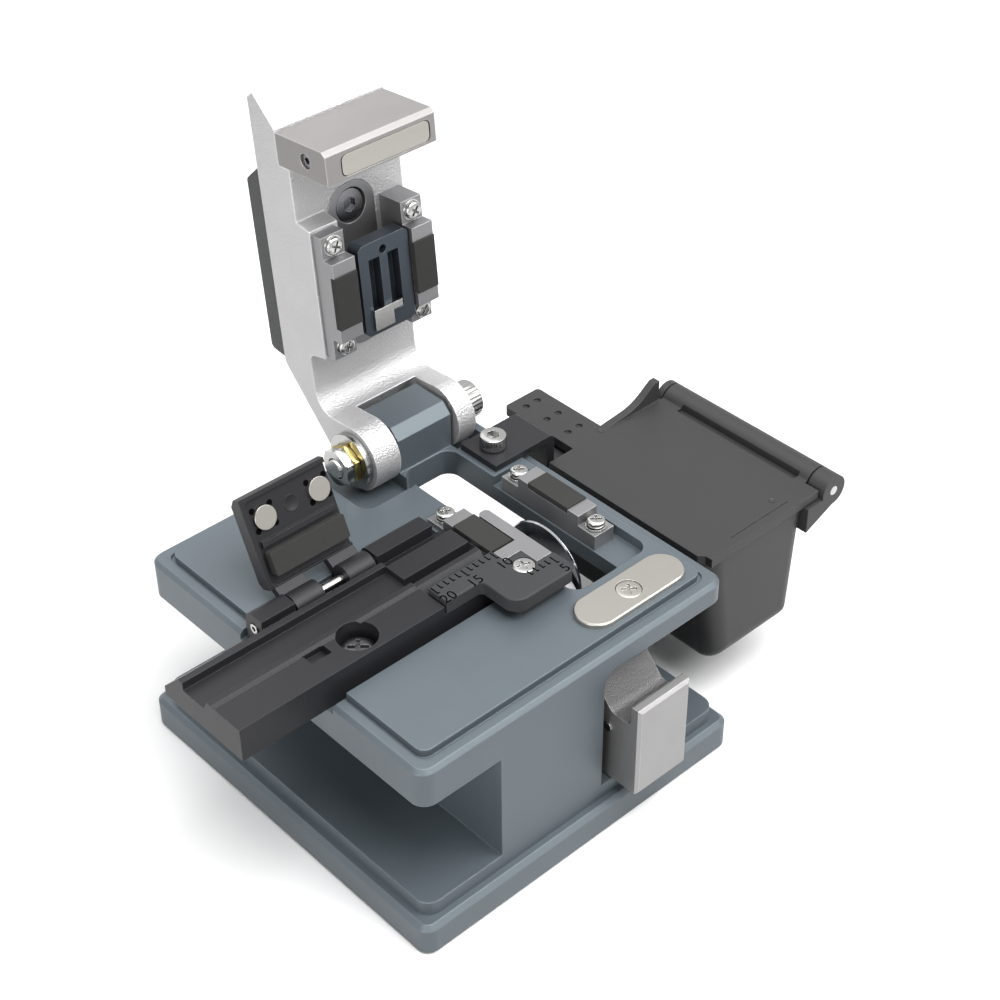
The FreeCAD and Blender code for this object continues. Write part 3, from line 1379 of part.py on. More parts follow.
def make_bin_lid():
    """Flat lid of the scrap bin with its hinge barrel, finger plate and curved fin."""
    lid = piece("bin_lid")
    low, top = size.bin_lid_top - size.bin_lid_thick, size.bin_lid_top
    front, rear = -size.bin_front, size.bin_rear
    left, right = right_edge + size.bin_lid_left, right_edge + size.bin_lid_right
    nick = size.bin_notch / 2
    step = rear - size.bin_wall
    near, far = right_edge + size.finger_left, right_edge + size.finger_right
    add_outline(lid, "XY_Plane", low, top, [
        (left, front + nick * 2), (left + nick, front + nick),
        (left + nick, front - size.air_gap), (right, front - size.air_gap), (right, rear),
        (far, rear), (far, size.finger_rear, size.air_gap * 2),
        (near, size.finger_rear, size.air_gap * 2), (near, step), (left, step)])
    begin = -rear + size.bin_ear / 2 + size.air_gap
    finish = -front - size.bin_ear - size.air_gap
    add_discs(lid, "XZ_Plane", begin, finish, [(*bin_hinge, size.bin_knuckle)])
    add_outline(lid, "XZ_Plane", begin, finish,
                rectangle(right - size.bin_ear, bin_hinge[0], low, top))
    gap = new_sketch(lid, "XY_Plane", low - size.bin_knuckle)
    clear = size.bin_knuckle + size.air_gap
    for start, stop in ((front - size.bin_ear, -finish), (-begin, rear + size.bin_ear)):
        draw_outline(gap, rectangle(bin_hinge[0] - clear, bin_hinge[0] + clear, start, stop))
    extrude(lid, "Pocket", gap, size.bin_knuckle * 3)
    cut_discs(lid, "XZ_Plane", begin - size.air_gap, finish + size.air_gap,
              [(*bin_hinge, size.bin_pin_radius + size.running_fit)])
    cut_outline(lid, "XY_Plane", top - size.trough_depth, top + size.bin_knuckle,
                rectangle(right_edge + size.trough_left, right_edge + size.trough_right,
                          -size.trough_front, size.trough_rear))
    lip = front + size.lip_inset
    cut_outline(lid, "XY_Plane", top - size.lip_depth, top + size.air_gap,
                rectangle(right_edge + size.lip_left, right_edge + size.lip_right,
                          lip, lip + size.lip_width))
    columns, rows = 2, 3
    step_x = (far - near) / (columns + 1)
    step_y = (size.finger_rear - rear) / rows
    dots = [(near + step_x * (column + 1), rear + step_y * row + step_y / 2,
             size.dimple_radius) for column in range(columns) for row in range(rows)]
    cut_discs(lid, "XY_Plane", top - size.dimple_depth, top + size.air_gap, dots)
    tip = right_edge + size.fin_right
    add_outline(lid, "XZ_Plane", -rear, -rear + size.fin_thick, [
        (right_edge + size.fin_left, low), (tip, low), (tip, top + size.fin_height),
        (tip - size.fin_tip, top + size.fin_height),
        (right_edge + size.fin_bend, top + size.fin_bend_height, size.fin_round),
        (right_edge + size.fin_left, top)])


def check_and_write():
    """Stop on any failed object, then write one file for each sub-part."""
    doc.recompute()
    for thing in doc.Objects:
        if "Invalid" in thing.State or "Error" in thing.State:
            raise RuntimeError(f"{thing.Name} failed: {thing.State}")
    for body in pieces:
        if body.Shape.isNull() or not body.Shape.isValid():
            raise RuntimeError(f"{body.Label} has no valid shape")
    os.makedirs("parts", exist_ok=True)
    for body in pieces:
        body.Shape.exportStep(f"parts/{body.Label}.step")


make_body_frame(make_base())
make_striker()
make_deck_pads()
make_fibre_holder()
make_scale_plate()
make_hinge_parts()
make_bin()
make_holder_lid()
swing_open(make_arm() + make_arm_pads() + make_magnet_block() + make_anvil(),
           size.hinge_y, hinge_z, size.open_angle)
make_slider()
make_bin_lid()
check_and_write()
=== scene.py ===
"""Looks of the fibre cleaver: finishes, engraved ruler, screws and fine fittings.

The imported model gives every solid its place; this file dresses the solids and
adds what is too fine for them, such as crossed screw slots, the split spring
washers, the knurled head of the hinge screw and the figures of the ruler.
"""

import logging
import math
from dataclasses import dataclass, field
from enum import Enum
from typing import Sequence

import bmesh
import bpy
from mathutils import Matrix, Quaternion, Vector

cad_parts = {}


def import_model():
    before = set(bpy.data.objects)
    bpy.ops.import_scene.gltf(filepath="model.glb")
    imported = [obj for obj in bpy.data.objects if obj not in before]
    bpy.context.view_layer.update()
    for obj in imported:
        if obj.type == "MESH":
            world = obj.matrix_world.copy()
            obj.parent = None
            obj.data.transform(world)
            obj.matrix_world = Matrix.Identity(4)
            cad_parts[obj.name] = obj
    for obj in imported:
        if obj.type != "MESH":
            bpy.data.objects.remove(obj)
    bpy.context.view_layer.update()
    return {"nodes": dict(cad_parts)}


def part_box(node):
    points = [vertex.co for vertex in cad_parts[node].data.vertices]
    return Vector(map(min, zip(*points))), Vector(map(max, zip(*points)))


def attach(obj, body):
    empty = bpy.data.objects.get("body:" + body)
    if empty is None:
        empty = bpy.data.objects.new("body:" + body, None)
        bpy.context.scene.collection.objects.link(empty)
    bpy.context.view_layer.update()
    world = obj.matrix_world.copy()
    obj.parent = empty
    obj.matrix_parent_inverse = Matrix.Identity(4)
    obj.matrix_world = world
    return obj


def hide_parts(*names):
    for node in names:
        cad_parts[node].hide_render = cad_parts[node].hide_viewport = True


LOG = logging.getLogger("fibre_cleaver")
MM = 0.001
TOUCH = 1e-6
UP = Vector((0.0, 0.0, 1.0))
RIGHT = Vector((1.0, 0.0, 0.0))
WHITE = (1.0, 1.0, 1.0, 1.0)
Colour = tuple[float, float, float]
Point = tuple[float, float, float]
Span = tuple[float, float]
Socket = bpy.types.NodeSocket
Feed = Socket | float | tuple[float, ...]


class Wiring:
    """Adds, sets and links the nodes of one node tree."""

    def __init__(self, tree: bpy.types.NodeTree) -> None:
        """Keep the tree that the nodes go into."""
        self.tree = tree

    def feed(self, node: bpy.types.Node, inputs: dict[str | int, Feed]) -> bpy.types.Node:
        """Set or link inputs of a node.

        Args:
            node: Node whose inputs are fed.
            inputs: For each input, another node's output or a constant.

        Returns:
            The same node.
        """
        for name, value in inputs.items():
            if isinstance(value, bpy.types.NodeSocket):
                self.tree.links.new(value, node.inputs[name])
            else:
                node.inputs[name].default_value = value
        return node

    def add(self, kind: str, inputs: dict[str | int, Feed] | None = None,
            **settings: str | int) -> bpy.types.Node:
        """Add a node.

        Args:
            kind: Kind of the node, without the leading ShaderNode.
            inputs: For each input, another node's output or a constant.
            settings: Values of the node's own properties.

        Returns:
            The new node.
        """
        node = self.tree.nodes.new(f"ShaderNode{kind}")
        for name, value in settings.items():
            setattr(node, name, value)
        return self.feed(node, inputs or {})

    def ranged(self, value: Socket, source: Span = (0.0, 1.0), target: Span = (0.0, 1.0),
               curve: str = "LINEAR") -> Socket:
        """Carry a value over from one range to another and hold it between the ends.

        Args:
            value: Socket with the value.
            source: Range that it comes from.
            target: Range that it goes to.
            curve: Blender's name for the way between the ends.

        Returns:
            Socket with the result.
        """
        node = self.add("MapRange", {"Value": value, "From Min": source[0],
                                     "From Max": source[1], "To Min": target[0],
                                     "To Max": target[1]}, interpolation_type=curve)
        return node.outputs["Result"]

    def mixed(self, share: Socket, plain: Feed, other: Feed) -> Socket:
        """Mix two colours.

        Args:
            share: Socket with the share of the second colour.
            plain: First colour.
            other: Second colour.

        Returns:
            Socket with the mixed colour.
        """
        node = self.add("Mix", {"Factor": share, "A": plain, "B": other}, data_type="RGBA")
        return node.outputs["Result"]

    def combined(self, operation: str, one: Socket, other: Socket) -> Socket:
        """Work out one number from two.

        Args:
            operation: Blender's name for the operation.
            one: First number.
            other: Second number.

        Returns:
            Socket with the result.
        """
        return self.add("Math", {0: one, 1: other}, operation=operation).outputs["Value"]

    def axis(self, vector: Socket, name: str) -> Socket:
        """Return the socket of one part of a vector: X, Y or Z."""
        return self.add("SeparateXYZ", {"Vector": vector}).outputs[name]

    def rounded(self, radius: float) -> Socket:
        """Return the normal as if the edges were rounded by a radius in millimetres."""
        node = self.add("Bevel", {"Radius": radius * MM}, samples=4)
        return node.outputs["Normal"]

    def blended(self, share: Socket, first: Socket, second: Socket, output: str) -> None:
        """Mix two shaders into the surface of the tree's output.

        Args:
            share: Share of the second shader.
            first: First shader.
            second: Second shader.
            output: Name of the output node.
        """
        mix = self.add("MixShader", {0: share, 1: first, 2: second})
        self.feed(self.tree.nodes[output], {"Surface": mix.outputs[0]})

    def seen(self) -> Socket:
        """Return a socket that is 1 for rays that see the set: camera, gloss and glass."""
        path = self.add("LightPath")
        share = path.outputs["Is Camera Ray"]
        for kind in ("Is Glossy Ray", "Is Transmission Ray"):
            share = self.combined("MAXIMUM", share, path.outputs[kind])
        return share


class Grain(Enum):
    """How the noise of a finish is stretched along X, Y and Z."""

    EVEN = (1.0, 1.0, 1.0)
    BRUSHED = (0.04, 1.0, 1.0)


@dataclass(frozen=True)
class Finish:
    """One surface finish, worked out from noise in the object's own space.

    Attributes:
        name: Name of the material.
        colour: Base colour as the shader takes it.
        metallic: Share of metal.
        roughness: Mean roughness.
        grain: How the grain is stretched.
        grain_size: Size of one grain in millimetres.
        relief: Height of the grain's bump.
        edge: Radius in millimetres by which the edges look rounded.
        edge_wear: How much lighter the colour turns along the edges: a painted highlight, partly
            real wear.
        shine: Specular level of the surface.
        blast_from: Place along Y in millimetres behind which what looks up is blasted.
        blast_shade: Share of the colour that is left there.
        blast_relief: Height of the bump there.
        mottle: How much the colour drifts over the piece.
        drift: Distance in millimetres over which it drifts.
        gloss_drift: How much the roughness drifts either way.
        wear_gain: What the colour of an edge with painted highlight and wear is multiplied by.
        wear_lift: What is added to it.
    """

    name: str
    colour: Colour
    metallic: float = 0.0
    roughness: float = 0.5
    grain: Grain = Grain.EVEN
    grain_size: float = 0.2
    relief: float = 0.05
    edge: float = 0.12
    edge_wear: float = 0.0
    shine: float = 0.5
    blast_from: float | None = None
    blast_shade: float = 0.42
    blast_relief: float = 0.8
    mottle: float = 0.06
    drift: float = 6.0
    gloss_drift: float = 0.06
    wear_gain: float = 2.2
    wear_lift: float = 0.05

    def build(self) -> bpy.types.Material:
        """Make the material with its nodes.

        Returns:
            The new material.
        """
        material = bpy.data.materials.new(self.name)
        material.use_nodes = True
        wiring = Wiring(material.node_tree)
        place = wiring.add("TexCoord").outputs["Object"]
        drift = self._noise(wiring, place, self.drift, octaves=3.0)
        colour = wiring.mixed(drift, self._shade(1 - self.mottle), self._shade(1 + self.mottle))
        relief: Feed = self.relief
        if self.blast_from is not None:
            blasted = self._blasted(wiring, place)
            colour = wiring.mixed(blasted, colour, self._shade(self.blast_shade))
            relief = wiring.ranged(blasted, target=(self.relief, self.blast_relief))
        # Lighter edges: painted highlight along the edges, partly real wear.
        if self.edge_wear > 0:
            highlit_worn_edge = self._shade(self.wear_gain, self.wear_lift)
            colour = wiring.mixed(self._worn(wiring), colour, highlit_worn_edge)
        fine = self._noise(wiring, place, self.grain_size, octaves=2.0)
        bump = wiring.add("Bump", {"Strength": relief, "Distance": self.grain_size * MM,
                                   "Height": fine, "Normal": wiring.rounded(self.edge)})
        gloss = (self.roughness - self.gloss_drift, self.roughness + self.gloss_drift)
        wiring.feed(material.node_tree.nodes["Principled BSDF"], {
            "Base Color": colour,
            "Metallic": self.metallic,
            "Roughness": wiring.ranged(fine, target=gloss),
            "Specular IOR Level": self.shine,
            "Normal": bump.outputs["Normal"]})
        return material

    def _shade(self, gain: float, lift: float = 0.0) -> tuple[float, ...]:
        """Return the colour multiplied and lifted, as a socket takes it."""
        return (*[min(1.0, value * gain + lift) for value in self.colour], 1.0)

    def _noise(self, wiring: Wiring, place: Socket, size: float, octaves: float) -> Socket:
        """Add noise whose grains have a size in millimetres.

        Args:
            wiring: Node tree to add to.
            place: Socket that gives the coordinates.
            size: Size of one grain in millimetres.
            octaves: Number of octaves.

        Returns:
            Socket with the noise.
        """
        mapping = wiring.add("Mapping", {"Vector": place, "Scale": self.grain.value})
        noise = wiring.add("TexNoise", {"Vector": mapping.outputs["Vector"],
                                        "Scale": 1.0 / (size * MM), "Detail": octaves})
        return noise.outputs["Fac"]

    def _blasted(self, wiring: Wiring, place: Socket) -> Socket:
        """Return a socket that is 1 on what looks up behind the front plate, else 0.

        Args:
            wiring: Node tree to add to.
            place: Socket that gives the coordinates.

        Returns:
            Socket with the share.
        """
        start, blur = self.blast_from * MM, 0.1 * MM
        behind = wiring.ranged(wiring.axis(place, "Y"), source=(start, start + blur))
        normal = wiring.add("NewGeometry").outputs["True Normal"]
        tilt = (0.02, 0.10)
        upper = wiring.ranged(wiring.axis(normal, "Z"), source=tilt)
        return wiring.combined("MULTIPLY", behind, upper)

    def _worn(self, wiring: Wiring) -> Socket:
        """Return the share of painted edge highlight and wear, which rises where the true and the
        rounded normal part.

        Args:
            wiring: Node tree to add to.

        Returns:
            Socket with the share of painted highlight and wear.
        """
        # Dot of the normals on a plain face, and where the painted edge highlight and wear are
        # full.
        reach, plain_face, highlit_worn_edge = 1.6, 1.0, 0.75
        true = wiring.add("NewGeometry").outputs["Normal"]
        dot = wiring.add("VectorMath", {0: wiring.rounded(self.edge * reach), 1: true},
                         operation="DOT_PRODUCT")
        return wiring.ranged(dot.outputs["Value"], source=(plain_face, highlit_worn_edge),
                             target=(0.0, self.edge_wear))


@dataclass
class Finishes:
    """Every finish of the tool, each built once when it is first asked for."""

    made: dict[str, bpy.types.Material] = field(default_factory=dict)

    SLATE = Finish("slate_anodised", (0.092, 0.112, 0.126), metallic=0.30, roughness=0.42,
                   grain_size=0.12, relief=0.10, edge=0.22, edge_wear=0.35)
    CAST = Finish("blasted_aluminium", (0.48, 0.475, 0.48), metallic=0.72, roughness=0.48,
                  grain_size=0.26, relief=0.65, edge=0.25, edge_wear=0.5)
    MILLED = Finish("milled_aluminium", (0.235, 0.235, 0.24), metallic=0.80, roughness=0.42,
                    grain=Grain.BRUSHED, grain_size=0.10, relief=0.14, edge_wear=0.6)
    BLOCK = Finish("block_aluminium", (0.26, 0.25, 0.245), metallic=0.55, roughness=0.46,
                   grain_size=0.12, relief=0.12, edge=0.16, edge_wear=0.8, shine=0.3)
    NICKEL = Finish("nickel_plate", (0.38, 0.365, 0.335), metallic=0.92, roughness=0.32,
                    grain=Grain.BRUSHED, grain_size=0.08, relief=0.10, edge=0.10,
                    edge_wear=0.4)
    STEEL = Finish("screw_steel", (0.42, 0.42, 0.41), metallic=1.0, roughness=0.22,
                   grain_size=0.1, edge=0.06, edge_wear=0.3)
    DARK_STEEL = Finish("dark_steel", (0.19, 0.19, 0.20), metallic=1.0, roughness=0.28,
                        grain_size=0.1, edge=0.06, edge_wear=0.4)
    BRASS = Finish("brass", (0.42, 0.33, 0.12), metallic=1.0, roughness=0.30,
                   grain_size=0.1, edge=0.08, edge_wear=0.4)
    BLACK_METAL = Finish("black_anodised", (0.014, 0.014, 0.016), metallic=0.10,
                         roughness=0.44, grain_size=0.10, relief=0.10, edge=0.14,
                         edge_wear=0.30, shine=0.3)
    RULED = Finish("ruled_plate", (0.040, 0.041, 0.043), grain_size=0.10, relief=0.10,
                   edge=0.14, edge_wear=0.30, shine=0.15)
    SLIDER = Finish("slider_aluminium", (0.28, 0.275, 0.275), metallic=0.80, roughness=0.42,
                    grain_size=0.16, relief=0.10, edge_wear=0.6, blast_from=-30.6)
    ANVIL = Finish("blued_steel", (0.045, 0.055, 0.068), metallic=0.7, roughness=0.34,
                   grain_size=0.12, relief=0.08, edge_wear=0.5)
    PLASTIC = Finish("black_plastic", (0.030, 0.030, 0.031), grain_size=0.16, relief=0.12,
                     edge=0.25, edge_wear=0.15, shine=0.3)
    GRIP = Finish("grip_plastic", (0.070, 0.072, 0.072), roughness=0.66, grain_size=0.35,
                  relief=0.5, edge=0.4, edge_wear=0.1, shine=0.4)
    RUBBER = Finish("black_rubber", (0.028, 0.028, 0.027), roughness=0.80, grain_size=0.14,
                    relief=0.25, edge=0.14, edge_wear=0.1, shine=0.25)
    BLADE = Finish("ground_blade", (0.50, 0.51, 0.53), metallic=1.0, roughness=0.16,
                   grain_size=0.05, relief=0.04, edge=0.03)
    # Near-black paint: the ruler's real engraving, and painted shade in the gaps round let-in
    # pieces and in the tray lid's relief pits.
    ENGRAVED = Finish("engraving_and_painted_shade", (0.003, 0.003, 0.003), roughness=0.7, grain_size=0.05,
                      edge=0.01, shine=0.0)

    def get(self, finish: Finish) -> bpy.types.Material:
        """Return the material of a finish, building it if need be."""
        if finish.name not in self.made:
            self.made[finish.name] = finish.build()
        return self.made[finish.name]


@dataclass(frozen=True)
class Viewpoint:
    """Where the photograph was taken from.

    Attributes:
        place: The camera's place in metres.
        heading: Degrees that it looks away from +Y, towards +X.
        drop: Degrees that it looks down.
        roll: Degrees that it is turned about its own axis.
        lens: Focal length in millimetres.
        sensor: Width of the sensor in millimetres.
        near: Nearest distance that it sees, in metres.
    """

    place: Point = (-0.12693, -0.15144, 0.19546)
    heading: float = 42.4593
    drop: float = 38.0994
    roll: float = -0.50278
    lens: float = 71.418
    sensor: float = 36.0
    near: float = 0.005

    def build(self) -> None:
        """Set up the camera and make it the scene's own."""
        data = bpy.data.cameras.new("view_camera")
        data.lens = self.lens
        data.sensor_width = self.sensor
        data.clip_start = self.near
        camera = bpy.data.objects.new("view_camera", data)
        heading, drop = math.radians(self.heading), math.radians(self.drop)
        ahead = Vector((math.sin(heading) * math.cos(drop), math.cos(heading) * math.cos(drop),
                        -math.sin(drop)))
        turn = ahead.to_track_quat("-Z", "Y")
        camera.location = self.place
        camera.rotation_mode = "QUATERNION"
        camera.rotation_quaternion = turn @ Quaternion((0, 0, 1), math.radians(self.roll))
        bpy.context.scene.collection.objects.link(camera)
        bpy.context.scene.camera = camera


@dataclass(frozen=True)
class Lamp:
    """One square lamp that looks at the tool.

    Attributes:
        name: Name of the lamp.
        place: Where it hangs, in metres.
        side: Length of its side in metres.
        power: Its power in watts.
        aim: Point that it looks at, in metres.
    """

    name: str
    place: Point
    side: float
    power: float
    aim: Point = (0.0, 0.0, 0.03)

    def build(self) -> None:
        """Hang the lamp."""
        data = bpy.data.lights.new(self.name, "AREA")
        data.energy = self.power
        data.size = self.side
        lamp = bpy.data.objects.new(self.name, data)
        lamp.location = self.place
        ahead = Vector(self.aim) - Vector(self.place)
        lamp.rotation_mode = "QUATERNION"
        lamp.rotation_quaternion = ahead.to_track_quat("-Z", "Y")
        bpy.context.scene.collection.objects.link(lamp)


@dataclass
class Studio:
    """Pale floor and soft lamps of a plain product shot.

    Attributes:
        lamps: The lamps.
        floor_reach: Half of the floor's side in metres.
        floor_colour: Brightness of the floor as it is seen.
        floor_bounce: Brightness with which it lights the tool.
        fade: Distances in metres from which the floor fades and where it is gone.
        glow: Colour of the surroundings' light.
        glow_strength: Strength of that light.
    """

    lamps: tuple[Lamp, ...] = (
        Lamp("key_lamp", (0.06, -0.34, 0.66), 0.58, 6.0),
        Lamp("fill_lamp", (0.42, -0.34, 0.48), 0.40, 2.3),
        Lamp("back_lamp", (-0.02, 0.46, 0.60), 0.80, 2.2),
        Lamp("top_lamp", (0.00, -0.04, 0.76), 0.60, 3.4),
        Lamp("side_lamp", (-0.55, -0.20, 0.16), 0.30, 2.2))
    floor_reach: float = 1.6
    floor_colour: float = 0.86
    floor_bounce: float = 0.10
    fade: Span = (0.12, 0.30)
    glow: Colour = (0.93, 0.95, 1.0)
    glow_strength: float = 0.06

    def build(self) -> None:
        """Add the floor, the white surroundings and the lamps."""
        self._floor()
        self._world()
        for lamp in self.lamps:
            lamp.build()

    def _floor(self) -> None:
        """Lay the floor, seen white by the camera and kept for its shadow."""
        mesh = bpy.data.meshes.new("floor")
        reach = self.floor_reach
        corners = [(-reach, -reach, 0), (reach, -reach, 0), (reach, reach, 0), (-reach, reach, 0)]
        mesh.from_pydata(corners, [], [(0, 1, 2, 3)])
        floor = bpy.data.objects.new("floor", mesh)
        bpy.context.scene.collection.objects.link(floor)
        mesh.materials.append(self._paper())

    def _paper(self) -> bpy.types.Material:
        """Make the floor's paper, which runs out into white away from the tool."""
        material = bpy.data.materials.new("floor_paper")
        material.use_nodes = True
        wiring = Wiring(material.node_tree)
        seen = wiring.seen()
        shade = wiring.ranged(seen, target=(self.floor_bounce, self.floor_colour))
        shader = wiring.feed(material.node_tree.nodes["Principled BSDF"],
                             {"Roughness": 0.9, "Base Color": shade})
        spot = wiring.add("NewGeometry").outputs["Position"]
        away = wiring.add("VectorMath", {0: spot}, operation="LENGTH").outputs["Value"]
        fade = wiring.ranged(away, source=self.fade, curve="SMOOTHSTEP")
        glow = wiring.add("Emission", {"Color": WHITE})
        wiring.blended(wiring.combined("MULTIPLY", fade, seen), shader.outputs[0],
                       glow.outputs[0], "Material Output")
        return material

    def _world(self) -> None:
        """Light the set evenly, with a white background behind it."""
        world = bpy.data.worlds.new("studio")
        bpy.context.scene.world = world
        world.use_nodes = True
        wiring = Wiring(world.node_tree)
        glow = wiring.feed(world.node_tree.nodes["Background"],
                           {"Color": (*self.glow, 1), "Strength": self.glow_strength})
        white = wiring.add("Background", {"Color": WHITE})
        wiring.blended(wiring.seen(), glow.outputs[0], white.outputs[0], "World Output")


@dataclass
class Dressing:
    """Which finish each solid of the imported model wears."""

    finishes: Finishes

    def plan(self) -> dict[Finish, tuple[str, ...]]:
        """Return the nodes of each finish."""
        kit = Finishes
        return {
            kit.SLATE: ("base_plate", "body_frame"),
            kit.CAST: ("arm",),
            kit.BLOCK: ("magnet_block",),
            kit.MILLED: ("deck_pad_holder_left", "deck_pad_holder_right",
                         "arm_pad_holder_left", "arm_pad_holder_right", "fibre_guide",
                         "blade_holder", "anvil_carrier"),
            kit.SLIDER: ("carriage",),
            kit.RULED: ("scale_plate",),
            kit.NICKEL: ("striker_plate", "magnet_bar", "lid_magnets"),
            kit.STEEL: ("striker_screw", "deck_pad_screws", "deck_spring_washers",
                        "holder_screw", "scale_plate_screw", "hinge_washers", "hinge_nut",
                        "hinge_shaft", "bin_hinge_pin", "lid_hinge_pin", "bracket_screw",
                        "base_screws", "arm_pad_screws", "slide_rail", "runner_block",
                        "blade_axle", "slide_stop_pin", "anvil_tip"),
            kit.DARK_STEEL: ("anvil_adjuster", "block_screw"),
            kit.BRASS: ("hinge_bush",),
            kit.BLACK_METAL: ("fibre_holder", "holder_lid", "bin_bracket"),
            kit.ANVIL: ("anvil",),
            kit.PLASTIC: ("bin_body", "bin_lid"),
            kit.GRIP: ("arm_grip",),
            kit.RUBBER: ("base_mat", "deck_pad_left", "deck_pad_right", "arm_pad_left",
                         "arm_pad_right", "lid_pad"),
            kit.BLADE: ("blade",),
        }

    def dress(self, nodes: dict[str, bpy.types.Object]) -> None:
        """Give every solid its material.

        Args:
            nodes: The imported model's objects by name.
        """
        for finish, names in self.plan().items():
            material = self.finishes.get(finish)
            for name in names:
                for slot in nodes[name].material_slots:
                    slot.link = "OBJECT"
                    slot.material = material
                LOG.info("dressed %s in %s", name, finish.name)


@dataclass
class Solid:
    """One loose solid of a node, measured along any direction.

    Attributes:
        points: Its corners in metres.
    """

    points: list[Vector]

    def span(self, along: Vector) -> tuple[float, float]:
        """Return the lowest and highest reach along a direction."""
        reaches = [point.dot(along) for point in self.points]
        return min(reaches), max(reaches)

    def centre(self, along: Vector) -> Vector:
        """Return the point of its axis at height zero along a direction."""
        middle = sum(self.points, Vector()) / len(self.points)
        return middle - along * middle.dot(along)

    def radius(self, along: Vector, low: float, high: float) -> float:
        """Return its widest radius about its axis between two heights."""
        centre = self.centre(along)
        flat = [(point - centre) - along * point.dot(along) for point in self.points
                if low - TOUCH <= point.dot(along) <= high + TOUCH]
        return max((spoke.length for spoke in flat), default=0.0)

    def head_radius(self, along: Vector, head: float) -> float:
        """Return the widest radius in the upper half of a head of a given height."""
        _, high = self.span(along)
        return self.radius(along, high - head * 0.5, high)

    def shank_radius(self, along: Vector, head: float) -> float:
        """Return the widest radius of the foot below a head of a given height."""
        low, _ = self.span(along)
        return self.radius(along, low, low + head * 0.2)


def solids_of(node: bpy.types.Object) -> list[Solid]:
    """Split a node's mesh into its loose solids.

    Args:
        node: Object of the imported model.

    Returns:
        The solids, from the lowest X to the highest.
    """
    work = bmesh.new()
    work.from_mesh(node.data)
    work.transform(node.matrix_world)
    bmesh.ops.remove_doubles(work, verts=work.verts, dist=TOUCH)
    left = set(work.verts)
    found = []
    for start in work.verts:
        if start not in left:
            continue
        left.discard(start)
        reached = [start]
        for corner in reached:
            for link in corner.link_edges:
                other = link.other_vert(corner)
                if other in left:
                    left.discard(other)
                    reached.append(other)
        found.append(Solid([vertex.co.copy() for vertex in reached]))
    work.free()
    return sorted(found, key=lambda solid: solid.centre(UP).x)


def facing(node: bpy.types.Object, towards: Vector) -> tuple[Vector, float]:
    """Find the largest flat face of a node that looks one way.

    Args:
        node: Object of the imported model.
        towards: Direction that the face roughly looks.

    Returns:
        The face's unit normal and how far along it the face lies.
    """
    turn = node.matrix_world.to_3x3()
    best = max((face for face in node.data.polygons
                if (turn @ face.normal).dot(towards) > 0.5), key=lambda face: face.area)
    normal = (turn @ best.normal).normalized()
    return normal, (node.matrix_world @ best.center).dot(normal)


def compass(along: Vector) -> tuple[Vector, Vector]:
    """Return two unit vectors square to a direction and to each other."""
    side = along.orthogonal().normalized()
    return side, along.cross(side)


